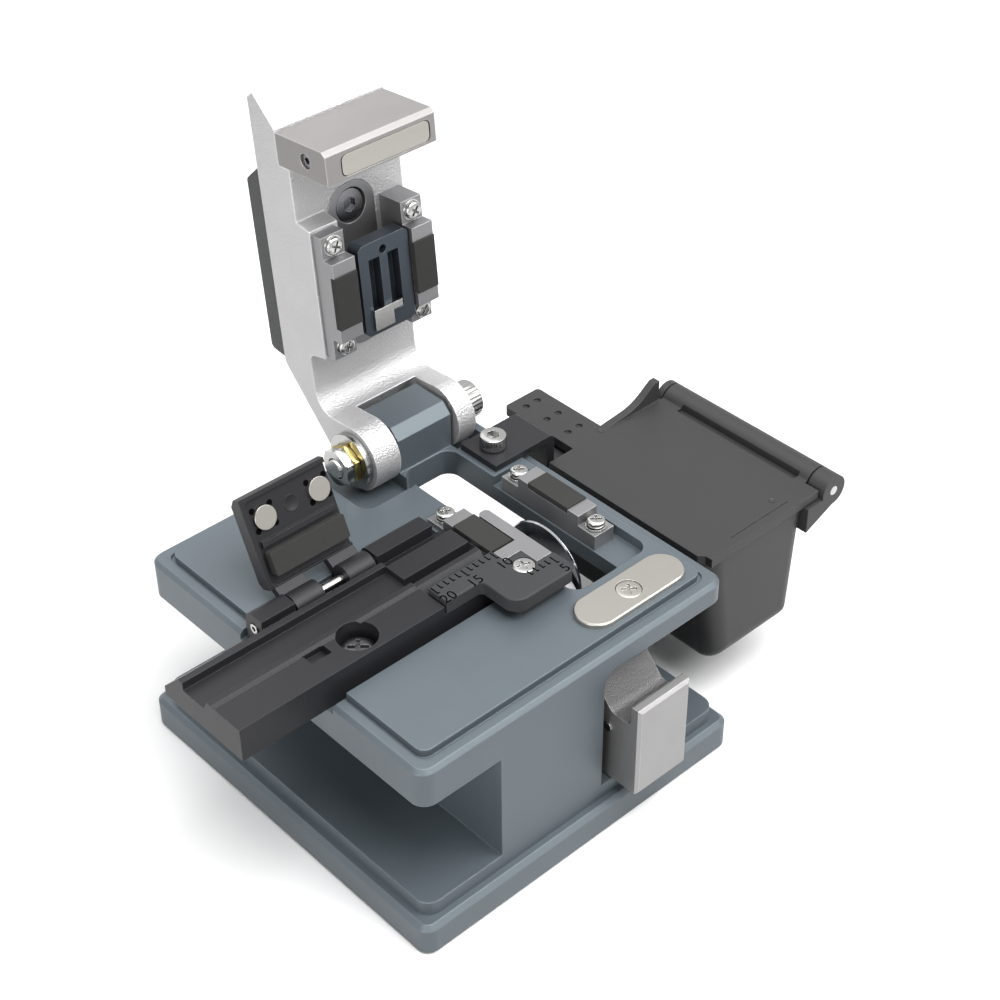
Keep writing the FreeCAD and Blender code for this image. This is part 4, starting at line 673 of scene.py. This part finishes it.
class Bench:
    """Makes meshes from profiles and turns them into finished pieces."""

    smooth_below = math.radians(35.0)

    def __init__(self, finishes: Finishes) -> None:
        """Keep the finishes that the pieces will wear."""
        self.finishes = finishes

    def place(self, name: str, work: bmesh.types.BMesh, finish: Finish,
              body: str) -> bpy.types.Object:
        """Turn a work mesh into a piece that rides on a body.

        Args:
            name: Name of the piece.
            work: The mesh, which is freed.
            finish: Finish of the piece.
            body: Body that carries it.

        Returns:
            The new object.
        """
        bmesh.ops.recalc_face_normals(work, faces=work.faces)
        for face in work.faces:
            face.smooth = True
        for edge in work.edges:
            if len(edge.link_faces) == 2:
                edge.smooth = edge.calc_face_angle(0.0) < self.smooth_below
        mesh = bpy.data.meshes.new(name)
        work.to_mesh(mesh)
        work.free()
        mesh.materials.append(self.finishes.get(finish))
        piece = bpy.data.objects.new(name, mesh)
        bpy.context.scene.collection.objects.link(piece)
        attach(piece, body)
        LOG.info("made %s on %s", name, body)
        return piece

    @staticmethod
    def turned(work: bmesh.types.BMesh, profile: Sequence[tuple[float, float]], foot: Vector,
               along: Vector, steps: int = 40) -> None:
        """Turn a profile about an axis.

        Args:
            work: Mesh to add to.
            profile: Pairs of radius and height in metres, from end to end.
            foot: Point of the axis from which heights count.
            along: Unit vector of the axis.
            steps: Number of steps round the axis.
        """
        side, across = compass(along)
        rings = []
        for radius, height in profile:
            centre = foot + along * height
            if radius == 0:
                rings.append([work.verts.new(centre)])
                continue
            ring = []
            for step in range(steps):
                angle = math.tau * step / steps
                spoke = side * math.cos(angle) + across * math.sin(angle)
                ring.append(work.verts.new(centre + spoke * radius))
            rings.append(ring)
        for low, high in zip(rings, rings[1:]):
            for step in range(steps):
                after = (step + 1) % steps
                corners = [low[step % len(low)], low[after % len(low)],
                           high[after % len(high)], high[step % len(high)]]
                unique = list(dict.fromkeys(corners))
                if len(unique) > 2:
                    work.faces.new(unique)

    @staticmethod
    def skin(work: bmesh.types.BMesh, rings: Sequence[list[bmesh.types.BMVert]]) -> None:
        """Close the strips between rings that have as many corners as each other.

        Args:
            work: Mesh to add to.
            rings: The rings in order, each as its corners in order.
        """
        for before, after in zip(rings, rings[1:]):
            for step in range(len(before)):
                beside = (step + 1) % len(before)
                work.faces.new((before[step], before[beside], after[beside], after[step]))

    @staticmethod
    def prism(work: bmesh.types.BMesh, outline: Sequence[Vector], rise: Vector) -> None:
        """Add a prism over a flat outline.

        Args:
            work: Mesh to add to.
            outline: Corners of the foot in order.
            rise: From the foot to the top.
        """
        low = [work.verts.new(corner) for corner in outline]
        high = [work.verts.new(corner + rise) for corner in outline]
        work.faces.new(low[::-1])
        work.faces.new(high)
        Bench.skin(work, (low, high))

    @staticmethod
    def carve(work: bmesh.types.BMesh, cutter: bmesh.types.BMesh) -> bmesh.types.BMesh:
        """Cut one mesh out of another, at millimetre scale for the solver's sake.

        Args:
            work: Mesh that is cut, and freed.
            cutter: Mesh that cuts, and is freed.

        Returns:
            The carved mesh.
        """
        pair = []
        for name, source in (("blank", work), ("cutter", cutter)):
            source.transform(Matrix.Scale(1 / MM, 4))
            bmesh.ops.recalc_face_normals(source, faces=source.faces)
            mesh = bpy.data.meshes.new(name)
            source.to_mesh(mesh)
            source.free()
            thing = bpy.data.objects.new(name, mesh)
            bpy.context.scene.collection.objects.link(thing)
            pair.append(thing)
        blank, tool = pair
        cut = blank.modifiers.new("cut", "BOOLEAN")
        cut.operation = "DIFFERENCE"
        cut.solver = "EXACT"
        cut.object = tool
        graph = bpy.context.evaluated_depsgraph_get()
        shaped = bpy.data.meshes.new_from_object(blank.evaluated_get(graph))
        carved = bmesh.new()
        carved.from_mesh(shaped)
        carved.transform(Matrix.Scale(MM, 4))
        for thing in pair:
            mesh = thing.data
            bpy.data.objects.remove(thing)
            bpy.data.meshes.remove(mesh)
        bpy.data.meshes.remove(shaped)
        return carved


@dataclass(frozen=True)
class Head:
    """Head of a screw with a crossed recess.

    Attributes:
        height: Height of the head in metres.
        dome: Share of the height that is domed.
        rings: Number of washers that show under it.
    """

    height: float
    dome: float = 0.35
    rings: int = 0


@dataclass
class Screws:
    """Pan and flat screws with a crossed recess, put where the solids have theirs.

    Attributes:
        bench: Where the meshes are made.
        flare: Radius of a washer as a share of the head's radius.
        waist: Radius between two washers, likewise.
        ring: Thickness of a washer in metres.
        seam: Gap between two washers in metres.
        crown: Share of the head's radius that its dome draws in.
        steps: Number of steps in the dome.
        recess: Width of the cross's arms as a share of the head's radius.
        reach: Length of an arm, likewise.
        deep: Depth of the cutter as a share of the head's height.
        clear: How far the cutter starts above the head, likewise.
        turn: Angle of the cross at X = 0 in radians.
        turn_per_mm: How much further it is turned for each millimetre along X.
        tip: Radius of the shank's end as a share of the shank's.
        taper: Length of the shank's end as a share of its radius.
        lip: Radius of the head's underside as a share of the head's.
        lip_rise: Height of its broken edge as a share of the head's.
    """

    bench: Bench
    flare: float = 1.16
    waist: float = 0.94
    ring: float = 0.26 * MM
    seam: float = 0.03 * MM
    crown: float = 0.42
    steps: int = 6
    recess: float = 0.26
    reach: float = 0.62
    deep: float = 0.85
    clear: float = 0.3
    turn: float = 0.6
    turn_per_mm: float = 2.1
    tip: float = 0.8
    taper: float = 0.3
    lip: float = 0.97
    lip_rise: float = 0.08

    def crossed(self, node: bpy.types.Object, body: str, along: Vector, head: Head,
                finish: Finish = Finishes.STEEL) -> None:
        """Replace every screw of a node by one with a crossed recess.

        Args:
            node: Node that holds the screws.
            body: Body that carries them.
            along: Direction that the heads face.
            head: What the heads are like.
            finish: Finish of the screws.
        """
        whole = bmesh.new()
        for solid in solids_of(node):
            blank = self._blank(solid, along, head)
            self._join(whole, Bench.carve(blank, self._cross(solid, along, head)))
        piece = self.bench.place(f"{node.name}_crossed", whole, finish, body)
        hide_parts(node.name)

    def _blank(self, solid: Solid, along: Vector, head: Head) -> bmesh.types.BMesh:
        """Turn one screw with its washers, still without the cross."""
        low, high = solid.span(along)
        wide = solid.head_radius(along, head.height)
        shank = solid.shank_radius(along, head.height)
        base = high - head.height
        profile = [(0, low), (shank * self.tip, low), (shank, low + shank * self.taper),
                   (shank, base)]
        for _ in range(head.rings):
            profile += [(wide * self.flare, base), (wide * self.flare, base + self.ring),
                        (wide * self.waist, base + self.ring)]
            base += self.ring + self.seam
            profile.append((wide * self.waist, base))
        profile += [(wide * self.lip, base), (wide, base + head.height * self.lip_rise)]
        for step in range(self.steps + 1):
            angle = math.radians(90 * step / self.steps)
            profile.append((wide * (1 - self.crown * (1 - math.cos(angle))),
                            high - head.height * head.dome * (1 - math.sin(angle))))
        profile.append((0, high))
        blank = bmesh.new()
        Bench.turned(blank, profile, solid.centre(along), along)
        return blank

    def _cross(self, solid: Solid, along: Vector, head: Head) -> bmesh.types.BMesh:
        """Make the cutter of the cross, turned another way at every place."""
        _, high = solid.span(along)
        foot = solid.centre(along)
        wide = solid.head_radius(along, head.height)
        side, _ = compass(along)
        side.rotate(Quaternion(along, self.turn + self.turn_per_mm * foot.x / MM))
        reach, half = wide * self.reach, wide * self.recess / 2
        top = foot + along * (high + head.height * self.clear)
        corners = []
        for quarter in range(4):
            arm = Quaternion(along, math.radians(90 * quarter)) @ side
            other = along.cross(arm)
            corners += [top + arm * reach - other * half, top + arm * reach + other * half,
                        top + arm * half + other * half]
        cutter = bmesh.new()
        Bench.prism(cutter, corners, -along * head.height * self.deep)
        return cutter

    @staticmethod
    def _join(whole: bmesh.types.BMesh, part: bmesh.types.BMesh) -> None:
        """Move the faces of one mesh into another and free it."""
        mesh = bpy.data.meshes.new("joint")
        part.to_mesh(mesh)
        part.free()
        whole.from_mesh(mesh)
        bpy.data.meshes.remove(mesh)


@dataclass
class SpringWashers:
    """Split spring washers, which climb so that their ends stand apart.

    Attributes:
        bench: Where the meshes are made.
        steps: Number of steps round a washer.
        gap: Half of the split in radians.
        start: Where the split lies, in radians.
        outer: Outer radius as a share of the solid's.
        inner: Inner radius as a share of the outer one.
        thick: Thickness as a share of the solid's height.
    """

    bench: Bench
    steps: int = 44
    gap: float = 0.14
    start: float = 1.1
    outer: float = 0.96
    inner: float = 0.58
    thick: float = 0.62

    def build(self, node: bpy.types.Object, body: str, along: Vector) -> None:
        """Replace the plain rings of a node.

        Args:
            node: Node that holds the rings.
            body: Body that carries them.
            along: Direction of their axis.
        """
        work = bmesh.new()
        for solid in solids_of(node):
            self._washer(work, solid, along)
        piece = self.bench.place(f"{node.name}_split", work, Finishes.STEEL, body)
        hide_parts(node.name)

    def _washer(self, work: bmesh.types.BMesh, solid: Solid, along: Vector) -> None:
        """Add one washer to a mesh."""
        low, high = solid.span(along)
        foot = solid.centre(along)
        outer = solid.radius(along, low, high) * self.outer
        inner = outer * self.inner
        thick = (high - low) * self.thick
        rise = (high - low) - thick
        side, _ = compass(along)
        side.rotate(Quaternion(along, self.start))
        across = along.cross(side)
        rings = []
        for step in range(self.steps + 1):
            share = step / self.steps
            angle = self.gap + (math.tau - 2 * self.gap) * share
            spoke = side * math.cos(angle) + across * math.sin(angle)
            level = low + rise * share
            rings.append([work.verts.new(foot + spoke * radius + along * height)
                          for radius, height in ((inner, level), (outer, level),
                                                 (outer, level + thick),
                                                 (inner, level + thick))])
        Bench.skin(work, rings)
        work.faces.new(rings[0][::-1])
        work.faces.new(rings[-1])


@dataclass(frozen=True)
class CapHead:
    """Head of a socket cap screw.

    Attributes:
        height: Height of the head in metres.
        socket: Radius of the socket's corners in metres.
        deep: Depth of the socket as a share of the height.
    """

    height: float
    socket: float
    deep: float = 0.6


@dataclass
class HingeScrew:
    """Knurled cap screws, and the nut and bush at the other end of the hinge.

    Attributes:
        bench: Where the meshes are made.
        teeth: Number of teeth of the knurling.
        knurl: Depth of the knurling as a share of the radius.
        edge: Width of the head's broken edges, likewise.
        tip: Radius of the shank's end as a share of the shank's.
        taper: Length of the shank's end as a share of its radius.
        bore: Radius of the nut's and the bush's bore in metres.
        corner: Share of their height over which their corners are turned down.
        turned: Radius to which their corners are turned down, as a share.
        steps: Number of steps round them.
    """

    bench: Bench
    teeth: int = 30
    knurl: float = 0.035
    edge: float = 0.10
    tip: float = 0.85
    taper: float = 0.25
    bore: float = 1.56 * MM
    corner: float = 0.18
    turned: float = 0.90
    steps: int = 60

    def build(self, nodes: dict[str, bpy.types.Object]) -> None:
        """Make both cap screws, and give the nut and the bush turned corners.

        Args:
            nodes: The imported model's objects by name.
        """
        self._cap(nodes["hinge_shaft"], RIGHT, CapHead(3.0 * MM, 1.45 * MM))
        self._cap(nodes["bracket_screw"], UP, CapHead(2.0 * MM, 0.95 * MM))
        for name, finish in (("hinge_nut", Finishes.STEEL), ("hinge_bush", Finishes.BRASS)):
            self._hexagon(nodes[name], finish)

    def _cap(self, node: bpy.types.Object, along: Vector, head: CapHead) -> None:
        """Replace one socket cap screw by one with a knurled head.

        Args:
            node: Node that holds the screw.
            along: Direction that the head faces.
            head: What the head is like.
        """
        solid = solids_of(node)[0]
        low, high = solid.span(along)
        foot = solid.centre(along)
        wide = solid.head_radius(along, head.height)
        shank = solid.shank_radius(along, head.height)
        base = high - head.height
        edge = wide * self.edge
        profile = [(0, low), (shank * self.tip, low), (shank, low + shank * self.taper),
                   (shank, base), (wide - edge, base), (wide, base + edge),
                   (wide, high - edge * 1.6), (wide - edge * 0.5, high - edge * 0.5),
                   (wide - edge * 1.6, high), (0, high)]
        blank = bmesh.new()
        Bench.turned(blank, profile, foot, along, steps=self.teeth * 4)
        side, across = compass(along)
        for vertex in blank.verts:
            height = vertex.co.dot(along)
            spoke = (vertex.co - foot) - along * height
            if base + edge * 0.5 < height < high - edge and spoke.length > wide * 0.9:
                angle = math.atan2(spoke.dot(across), spoke.dot(side))
                wave = abs(math.sin(angle * self.teeth / 2))
                vertex.co = vertex.co - spoke * self.knurl * wave
        top = foot + along * (high + edge)
        corners = []
        for turn in range(6):
            angle = math.radians(60 * turn)
            corners.append(top + (side * math.cos(angle)
                                  + across * math.sin(angle)) * head.socket)
        cutter = bmesh.new()
        Bench.prism(cutter, corners, -along * head.height * head.deep)
        piece = self.bench.place(f"{node.name}_knurled", Bench.carve(blank, cutter),
                                 Finishes.STEEL, "frame")
        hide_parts(node.name)

    def _hexagon(self, node: bpy.types.Object, finish: Finish) -> None:
        """Replace a plain hexagon by one with turned-down corners.

        Args:
            node: Node that holds the hexagon.
            finish: Finish of the new one.
        """
        solid = solids_of(node)[0]
        low, high = solid.span(RIGHT)
        foot = solid.centre(RIGHT)
        wide = solid.radius(RIGHT, low, high)
        chamfer = (high - low) * self.corner
        half = math.pi / 6
        work = bmesh.new()

        def ring(level: float, reach: float, round_bore: bool = False
                 ) -> list[bmesh.types.BMVert]:
            """Add one ring of corners at a height, cut back to a radius."""
            corners = []
            for step in range(self.steps):
                angle = math.tau * step / self.steps
                inside = (angle + math.pi / 2) % (2 * half) - half
                flat = wide * math.cos(half) / math.cos(inside)
                spoke = Vector((0, math.cos(angle), math.sin(angle)))
                radius = reach if round_bore else min(flat, reach)
                corners.append(work.verts.new(foot + RIGHT * level + spoke * radius))
            return corners

        rings = [ring(low, wide * self.turned), ring(low + chamfer, wide),
                 ring(high - chamfer, wide), ring(high, wide * self.turned),
                 ring(high, self.bore, round_bore=True), ring(low, self.bore, round_bore=True)]
        Bench.skin(work, [*rings, rings[0]])
        piece = self.bench.place(f"{node.name}_turned", work, finish, "frame")
        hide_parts(node.name)


@dataclass
class Ruler:
    """Engraved ruler on the plate: ticks a millimetre apart and its figures.

    Attributes:
        bench: Where the meshes are made.
        zero: Place along X from which the ticks count, in millimetres.
        row_far: Far ends of the first row of ticks, in millimetres along Y.
        row_near: Far ends of the second row.
        short: Length of a tick in millimetres.
        long: Length of every fifth tick.
        width: Width of a tick.
        foot: Width of the foot at a tick's near end.
        depth: How thick the paint in the engraved marks is, in metres.
        figure: Height of a figure in millimetres.
        em: Size of the lettering as a share of that height.
        gap: Space between a tick and its figure in millimetres.
        nudge: How far the last figure stands to the right, as a share of its height.
    """

    bench: Bench
    zero: float = 13.6
    row_far: float = -6.75
    row_near: float = -12.6
    short: float = 1.0
    long: float = 1.5
    width: float = 0.20
    foot: float = 0.42
    depth: float = 0.012 * MM
    figure: float = 1.75
    em: float = 1.25
    gap: float = 0.25
    nudge: float = 0.3

    def build(self, plate_top: float) -> None:
        """Draw both rows of ticks and the figures beside them.

        Args:
            plate_top: Height of the plate's top in metres.
        """
        work = bmesh.new()
        rows = ((range(10, 21), self.row_far), (range(5, 10), self.row_near))
        for numbers, far in rows:
            for number in numbers:
                reach = self.long if number % 5 == 0 else self.short
                left = self.zero - number - self.width / 2
                right = left + self.width
                corners = [Vector((x * MM, y * MM, plate_top)) for x, y in (
                    (left, far - reach), (left + self.foot, far - reach),
                    (left + self.foot, far - reach + self.width),
                    (right, far - reach + self.width), (right, far), (left, far))]
                Bench.prism(work, corners, Vector((0, 0, self.depth)))
        self.bench.place("ruler_ticks", work, Finishes.ENGRAVED, "frame")
        for number in (5, 10, 15, 20):
            far = self.row_near if number < 10 else self.row_far
            self._figure(number, far - self.long - self.gap, plate_top)

    def _figure(self, number: int, far: float, plate_top: float) -> None:
        """Write one figure below its tick.

        Args:
            number: The number to write.
            far: Top of the figure along Y in millimetres.
            plate_top: Height of the plate's top in metres.
        """
        text = bpy.data.curves.new(f"figure_{number}", "FONT")
        text.body = str(number)
        text.size = self.figure * MM * self.em
        text.align_x = "CENTER"
        text.align_y = "TOP"
        text.extrude = self.depth
        lettering = bpy.data.objects.new(f"figure_{number}_line", text)
        bpy.context.scene.collection.objects.link(lettering)
        graph = bpy.context.evaluated_depsgraph_get()
        mesh = bpy.data.meshes.new_from_object(lettering.evaluated_get(graph))
        bpy.data.objects.remove(lettering)
        shift = 0.0 if number != 20 else self.figure * self.nudge
        mesh.transform(Matrix.Translation(((self.zero - number + shift) * MM, far * MM,
                                           plate_top)))
        work = bmesh.new()
        work.from_mesh(mesh)
        bpy.data.meshes.remove(mesh)
        self.bench.place(f"figure_{number}", work, Finishes.ENGRAVED, "frame")


@dataclass
class TrayLid:
    """Small marks on the inner face of the fibre holder's lid.

    Attributes:
        bench: Where the meshes are made.
        boss: Radius of the round boss between the magnets, in metres.
        wall: Width of the boss's rim.
        proud: How far the marks stand out of the face.
        pit: Radius of the relief at each corner of a magnet's seat.
        film: How far the painted shade of the reliefs stands out of the face.
        spread: Divisor that sets the reliefs' distance from a magnet's middle.
    """

    bench: Bench
    boss: float = 1.15 * MM
    wall: float = 0.16 * MM
    proud: float = 0.06 * MM
    pit: float = 0.42 * MM
    film: float = 0.008 * MM
    spread: float = 1.28

    def build(self, nodes: dict[str, bpy.types.Object]) -> None:
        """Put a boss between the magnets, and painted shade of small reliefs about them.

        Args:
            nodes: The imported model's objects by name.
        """
        magnets = solids_of(nodes["lid_magnets"])
        normal, face = facing(nodes["lid_magnets"], Vector((0.0, -1.0, 0.3)))
        _, skin = facing(nodes["holder_lid"], normal)
        seats = [magnet.centre(normal) for magnet in magnets]
        reach = magnets[0].radius(normal, face - self.proud, face)
        middle = sum(seats, Vector()) / len(seats)
        sunk, top, floor = skin - self.proud, skin + self.proud, skin + self.proud * 0.3
        profile = [(0, sunk), (self.boss, sunk), (self.boss, top),
                   (self.boss - self.wall, top), (self.boss - self.wall * 1.5, floor),
                   (0, floor)]
        boss = bmesh.new()
        Bench.turned(boss, profile, middle, normal)
        self.bench.place("tray_lid_boss", boss, Finishes.BLACK_METAL, "tray_lid")
        # Near-black disks nearly flush with the face: painted shade of the relief pits round each
        # magnet.
        painted_pit_shade = bmesh.new()
        across = normal.cross(RIGHT).normalized()
        out = (reach + self.pit * 0.4) / self.spread
        profile = [(0, sunk), (self.pit, sunk), (self.pit, skin + self.film),
                   (0, skin + self.film)]
        for seat in seats:
            for along, up in ((1, 1), (-1, 1), (1, -1), (-1, -1)):
                spot = seat + (RIGHT * along + across * up) * out
                Bench.turned(painted_pit_shade, profile, spot, normal, steps=20)
        self.bench.place("tray_lid_relief_shade", painted_pit_shade, Finishes.ENGRAVED, "tray_lid")


@dataclass
class Seams:
    """Painted shade in the gaps round the pieces that are let into a face, drawn as dark strips
    on the face.

    Attributes:
        bench: Where the meshes are made.
        width: Width of a seam in metres.
        proud: How far its paint stands out of the face.
        near: How far from a piece's face its corners may lie.
    """

    bench: Bench
    width: float = 0.16 * MM
    proud: float = 0.012 * MM
    near: float = 0.02 * MM

    @staticmethod
    def _hull(points: list[Vector], normal: Vector) -> list[Vector]:
        """Return the corners of the outline round points that lie in one plane.

        Args:
            points: Points of the face.
            normal: The face's unit normal.

        Returns:
            The corners in order.
        """
        side, across = compass(normal)
        flat = sorted(points, key=lambda point: (point.dot(side), point.dot(across)))
        outline: list[Vector] = []
        for order in (flat, flat[::-1]):
            half: list[Vector] = []
            for point in order:
                while len(half) > 1 and (half[-1] - half[-2]).cross(
                        point - half[-1]).dot(normal) <= 1e-12:
                    half.pop()
                half.append(point)
            outline += half[:-1]
        return outline

    def around(self, node: bpy.types.Object, skin: float, towards: Vector, body: str) -> None:
        """Paint the shade of the gap round one node on the face that holds it.

        Args:
            node: The piece that is let in.
            skin: How far along the face's normal the face lies, in metres.
            towards: Direction that the face roughly looks.
            body: Body that carries both.
        """
        normal, level = facing(node, towards)
        points = [corner for solid in solids_of(node) for corner in solid.points
                  if abs(corner.dot(normal) - level) < self.near]
        hull = self._hull(points, normal)
        middle = sum(hull, Vector()) / len(hull)
        # A dark strip round the piece: painted shade of the gap between it and the face.
        work = bmesh.new()
        rings: list[list[bmesh.types.BMVert]] = []
        for grow, height in ((0.0, skin), (self.width, skin), (self.width, skin + self.proud),
                             (0.0, skin + self.proud)):
            ring = []
            for corner in hull:
                place = corner + (corner - middle).normalized() * grow
                ring.append(work.verts.new(place + normal * (height - place.dot(normal))))
            rings.append(ring)
        Bench.skin(work, [*rings, rings[0]])
        self.bench.place(f"{node.name}_seam", work, Finishes.ENGRAVED, body)


@dataclass
class MouldMarks:
    """Round marks that the mould's pins leave on the bin's lid.

    Attributes:
        bench: Where the meshes are made.
        spots: Places in millimetres along X and Y.
        radius: Radius of a mark in metres.
        proud: Height of its rim.
        rim: Inner radius of the rim as a share of the mark's.
        dish: Radius of the mark's floor, likewise.
        floor: Height of that floor as a share of the rim's.
    """

    bench: Bench
    spots: tuple[tuple[float, float], ...] = ((38.3, 7.6), (43.3, 7.1), (43.8, -19.8))
    radius: float = 0.55 * MM
    proud: float = 0.05 * MM
    rim: float = 0.72
    dish: float = 0.6
    floor: float = 0.2

    def build(self, top: float) -> None:
        """Ring each spot with a low rim.

        Args:
            top: Height of the lid's flat top in metres.
        """
        floor = self.floor * self.proud
        profile = [(0, -self.proud), (self.radius, -self.proud), (self.radius, self.proud),
                   (self.radius * self.rim, self.proud), (self.radius * self.dish, floor),
                   (0, floor)]
        rims = bmesh.new()
        for x, y in self.spots:
            Bench.turned(rims, profile, Vector((x * MM, y * MM, top)), UP, steps=24)
        self.bench.place("bin_lid_marks", rims, Finishes.PLASTIC, "scrap_lid")


@dataclass
class Fittings:
    """Puts every fine fitting on the solids.

    Attributes:
        bench: Where the meshes are made.
        nodes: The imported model's objects by name.
        arm_lean: Degrees that the open arm leans back.
    """

    bench: Bench
    nodes: dict[str, bpy.types.Object]
    arm_lean: float = 5.0

    def arm_front(self) -> Vector:
        """Return where the clamping face of the open arm looks."""
        lean = math.radians(self.arm_lean)
        return Vector((0.0, -math.cos(lean), math.sin(lean)))

    def build(self) -> None:
        """Make every fitting."""
        self._screws()
        SpringWashers(self.bench).build(self.nodes["deck_spring_washers"], "frame", UP)
        HingeScrew(self.bench).build(self.nodes)
        Ruler(self.bench).build(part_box("scale_plate")[1].z)
        TrayLid(self.bench).build(self.nodes)
        _, lid_top = facing(self.nodes["bin_lid"], UP)
        MouldMarks(self.bench).build(lid_top)
        self._seams()

    def _screws(self) -> None:
        """Give every screw with a cross its own head."""
        flat = Head(0.6 * MM, dome=0.2)
        screws = Screws(self.bench)
        for name, body, along, head, finish in (
                ("deck_pad_screws", "frame", UP, Head(0.8 * MM), Finishes.STEEL),
                ("arm_pad_screws", "arm_unit", self.arm_front(), Head(1.25 * MM, rings=2),
                 Finishes.STEEL),
                ("striker_screw", "frame", UP, flat, Finishes.NICKEL),
                ("scale_plate_screw", "frame", UP, flat, Finishes.STEEL),
                ("holder_screw", "frame", UP, Head(1.1 * MM), Finishes.DARK_STEEL)):
            screws.crossed(self.nodes[name], body, along, head, finish)

    def _seams(self) -> None:
        """Paint shade in the gaps round the magnet bar and the striker plate."""
        gap_shade = Seams(self.bench)
        front = self.arm_front()
        _, block_face = solids_of(self.nodes["magnet_block"])[0].span(front)
        gap_shade.around(self.nodes["magnet_bar"], block_face, front, "arm_unit")
        deck_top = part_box("deck_pad_holder_left")[0].z
        gap_shade.around(self.nodes["striker_plate"], deck_top, UP, "frame")


def main() -> None:
    """Load the solids, dress them, add the fittings and set the stage."""
    logging.basicConfig(level=logging.INFO, format="%(name)s: %(message)s")
    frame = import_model()
    finishes = Finishes()
    Dressing(finishes).dress(frame["nodes"])
    Fittings(Bench(finishes), frame["nodes"]).build()
    Studio().build()
    Viewpoint().build()


if __name__ == "__main__":
    main()
    bpy.context.scene.view_settings.view_transform = "Standard"
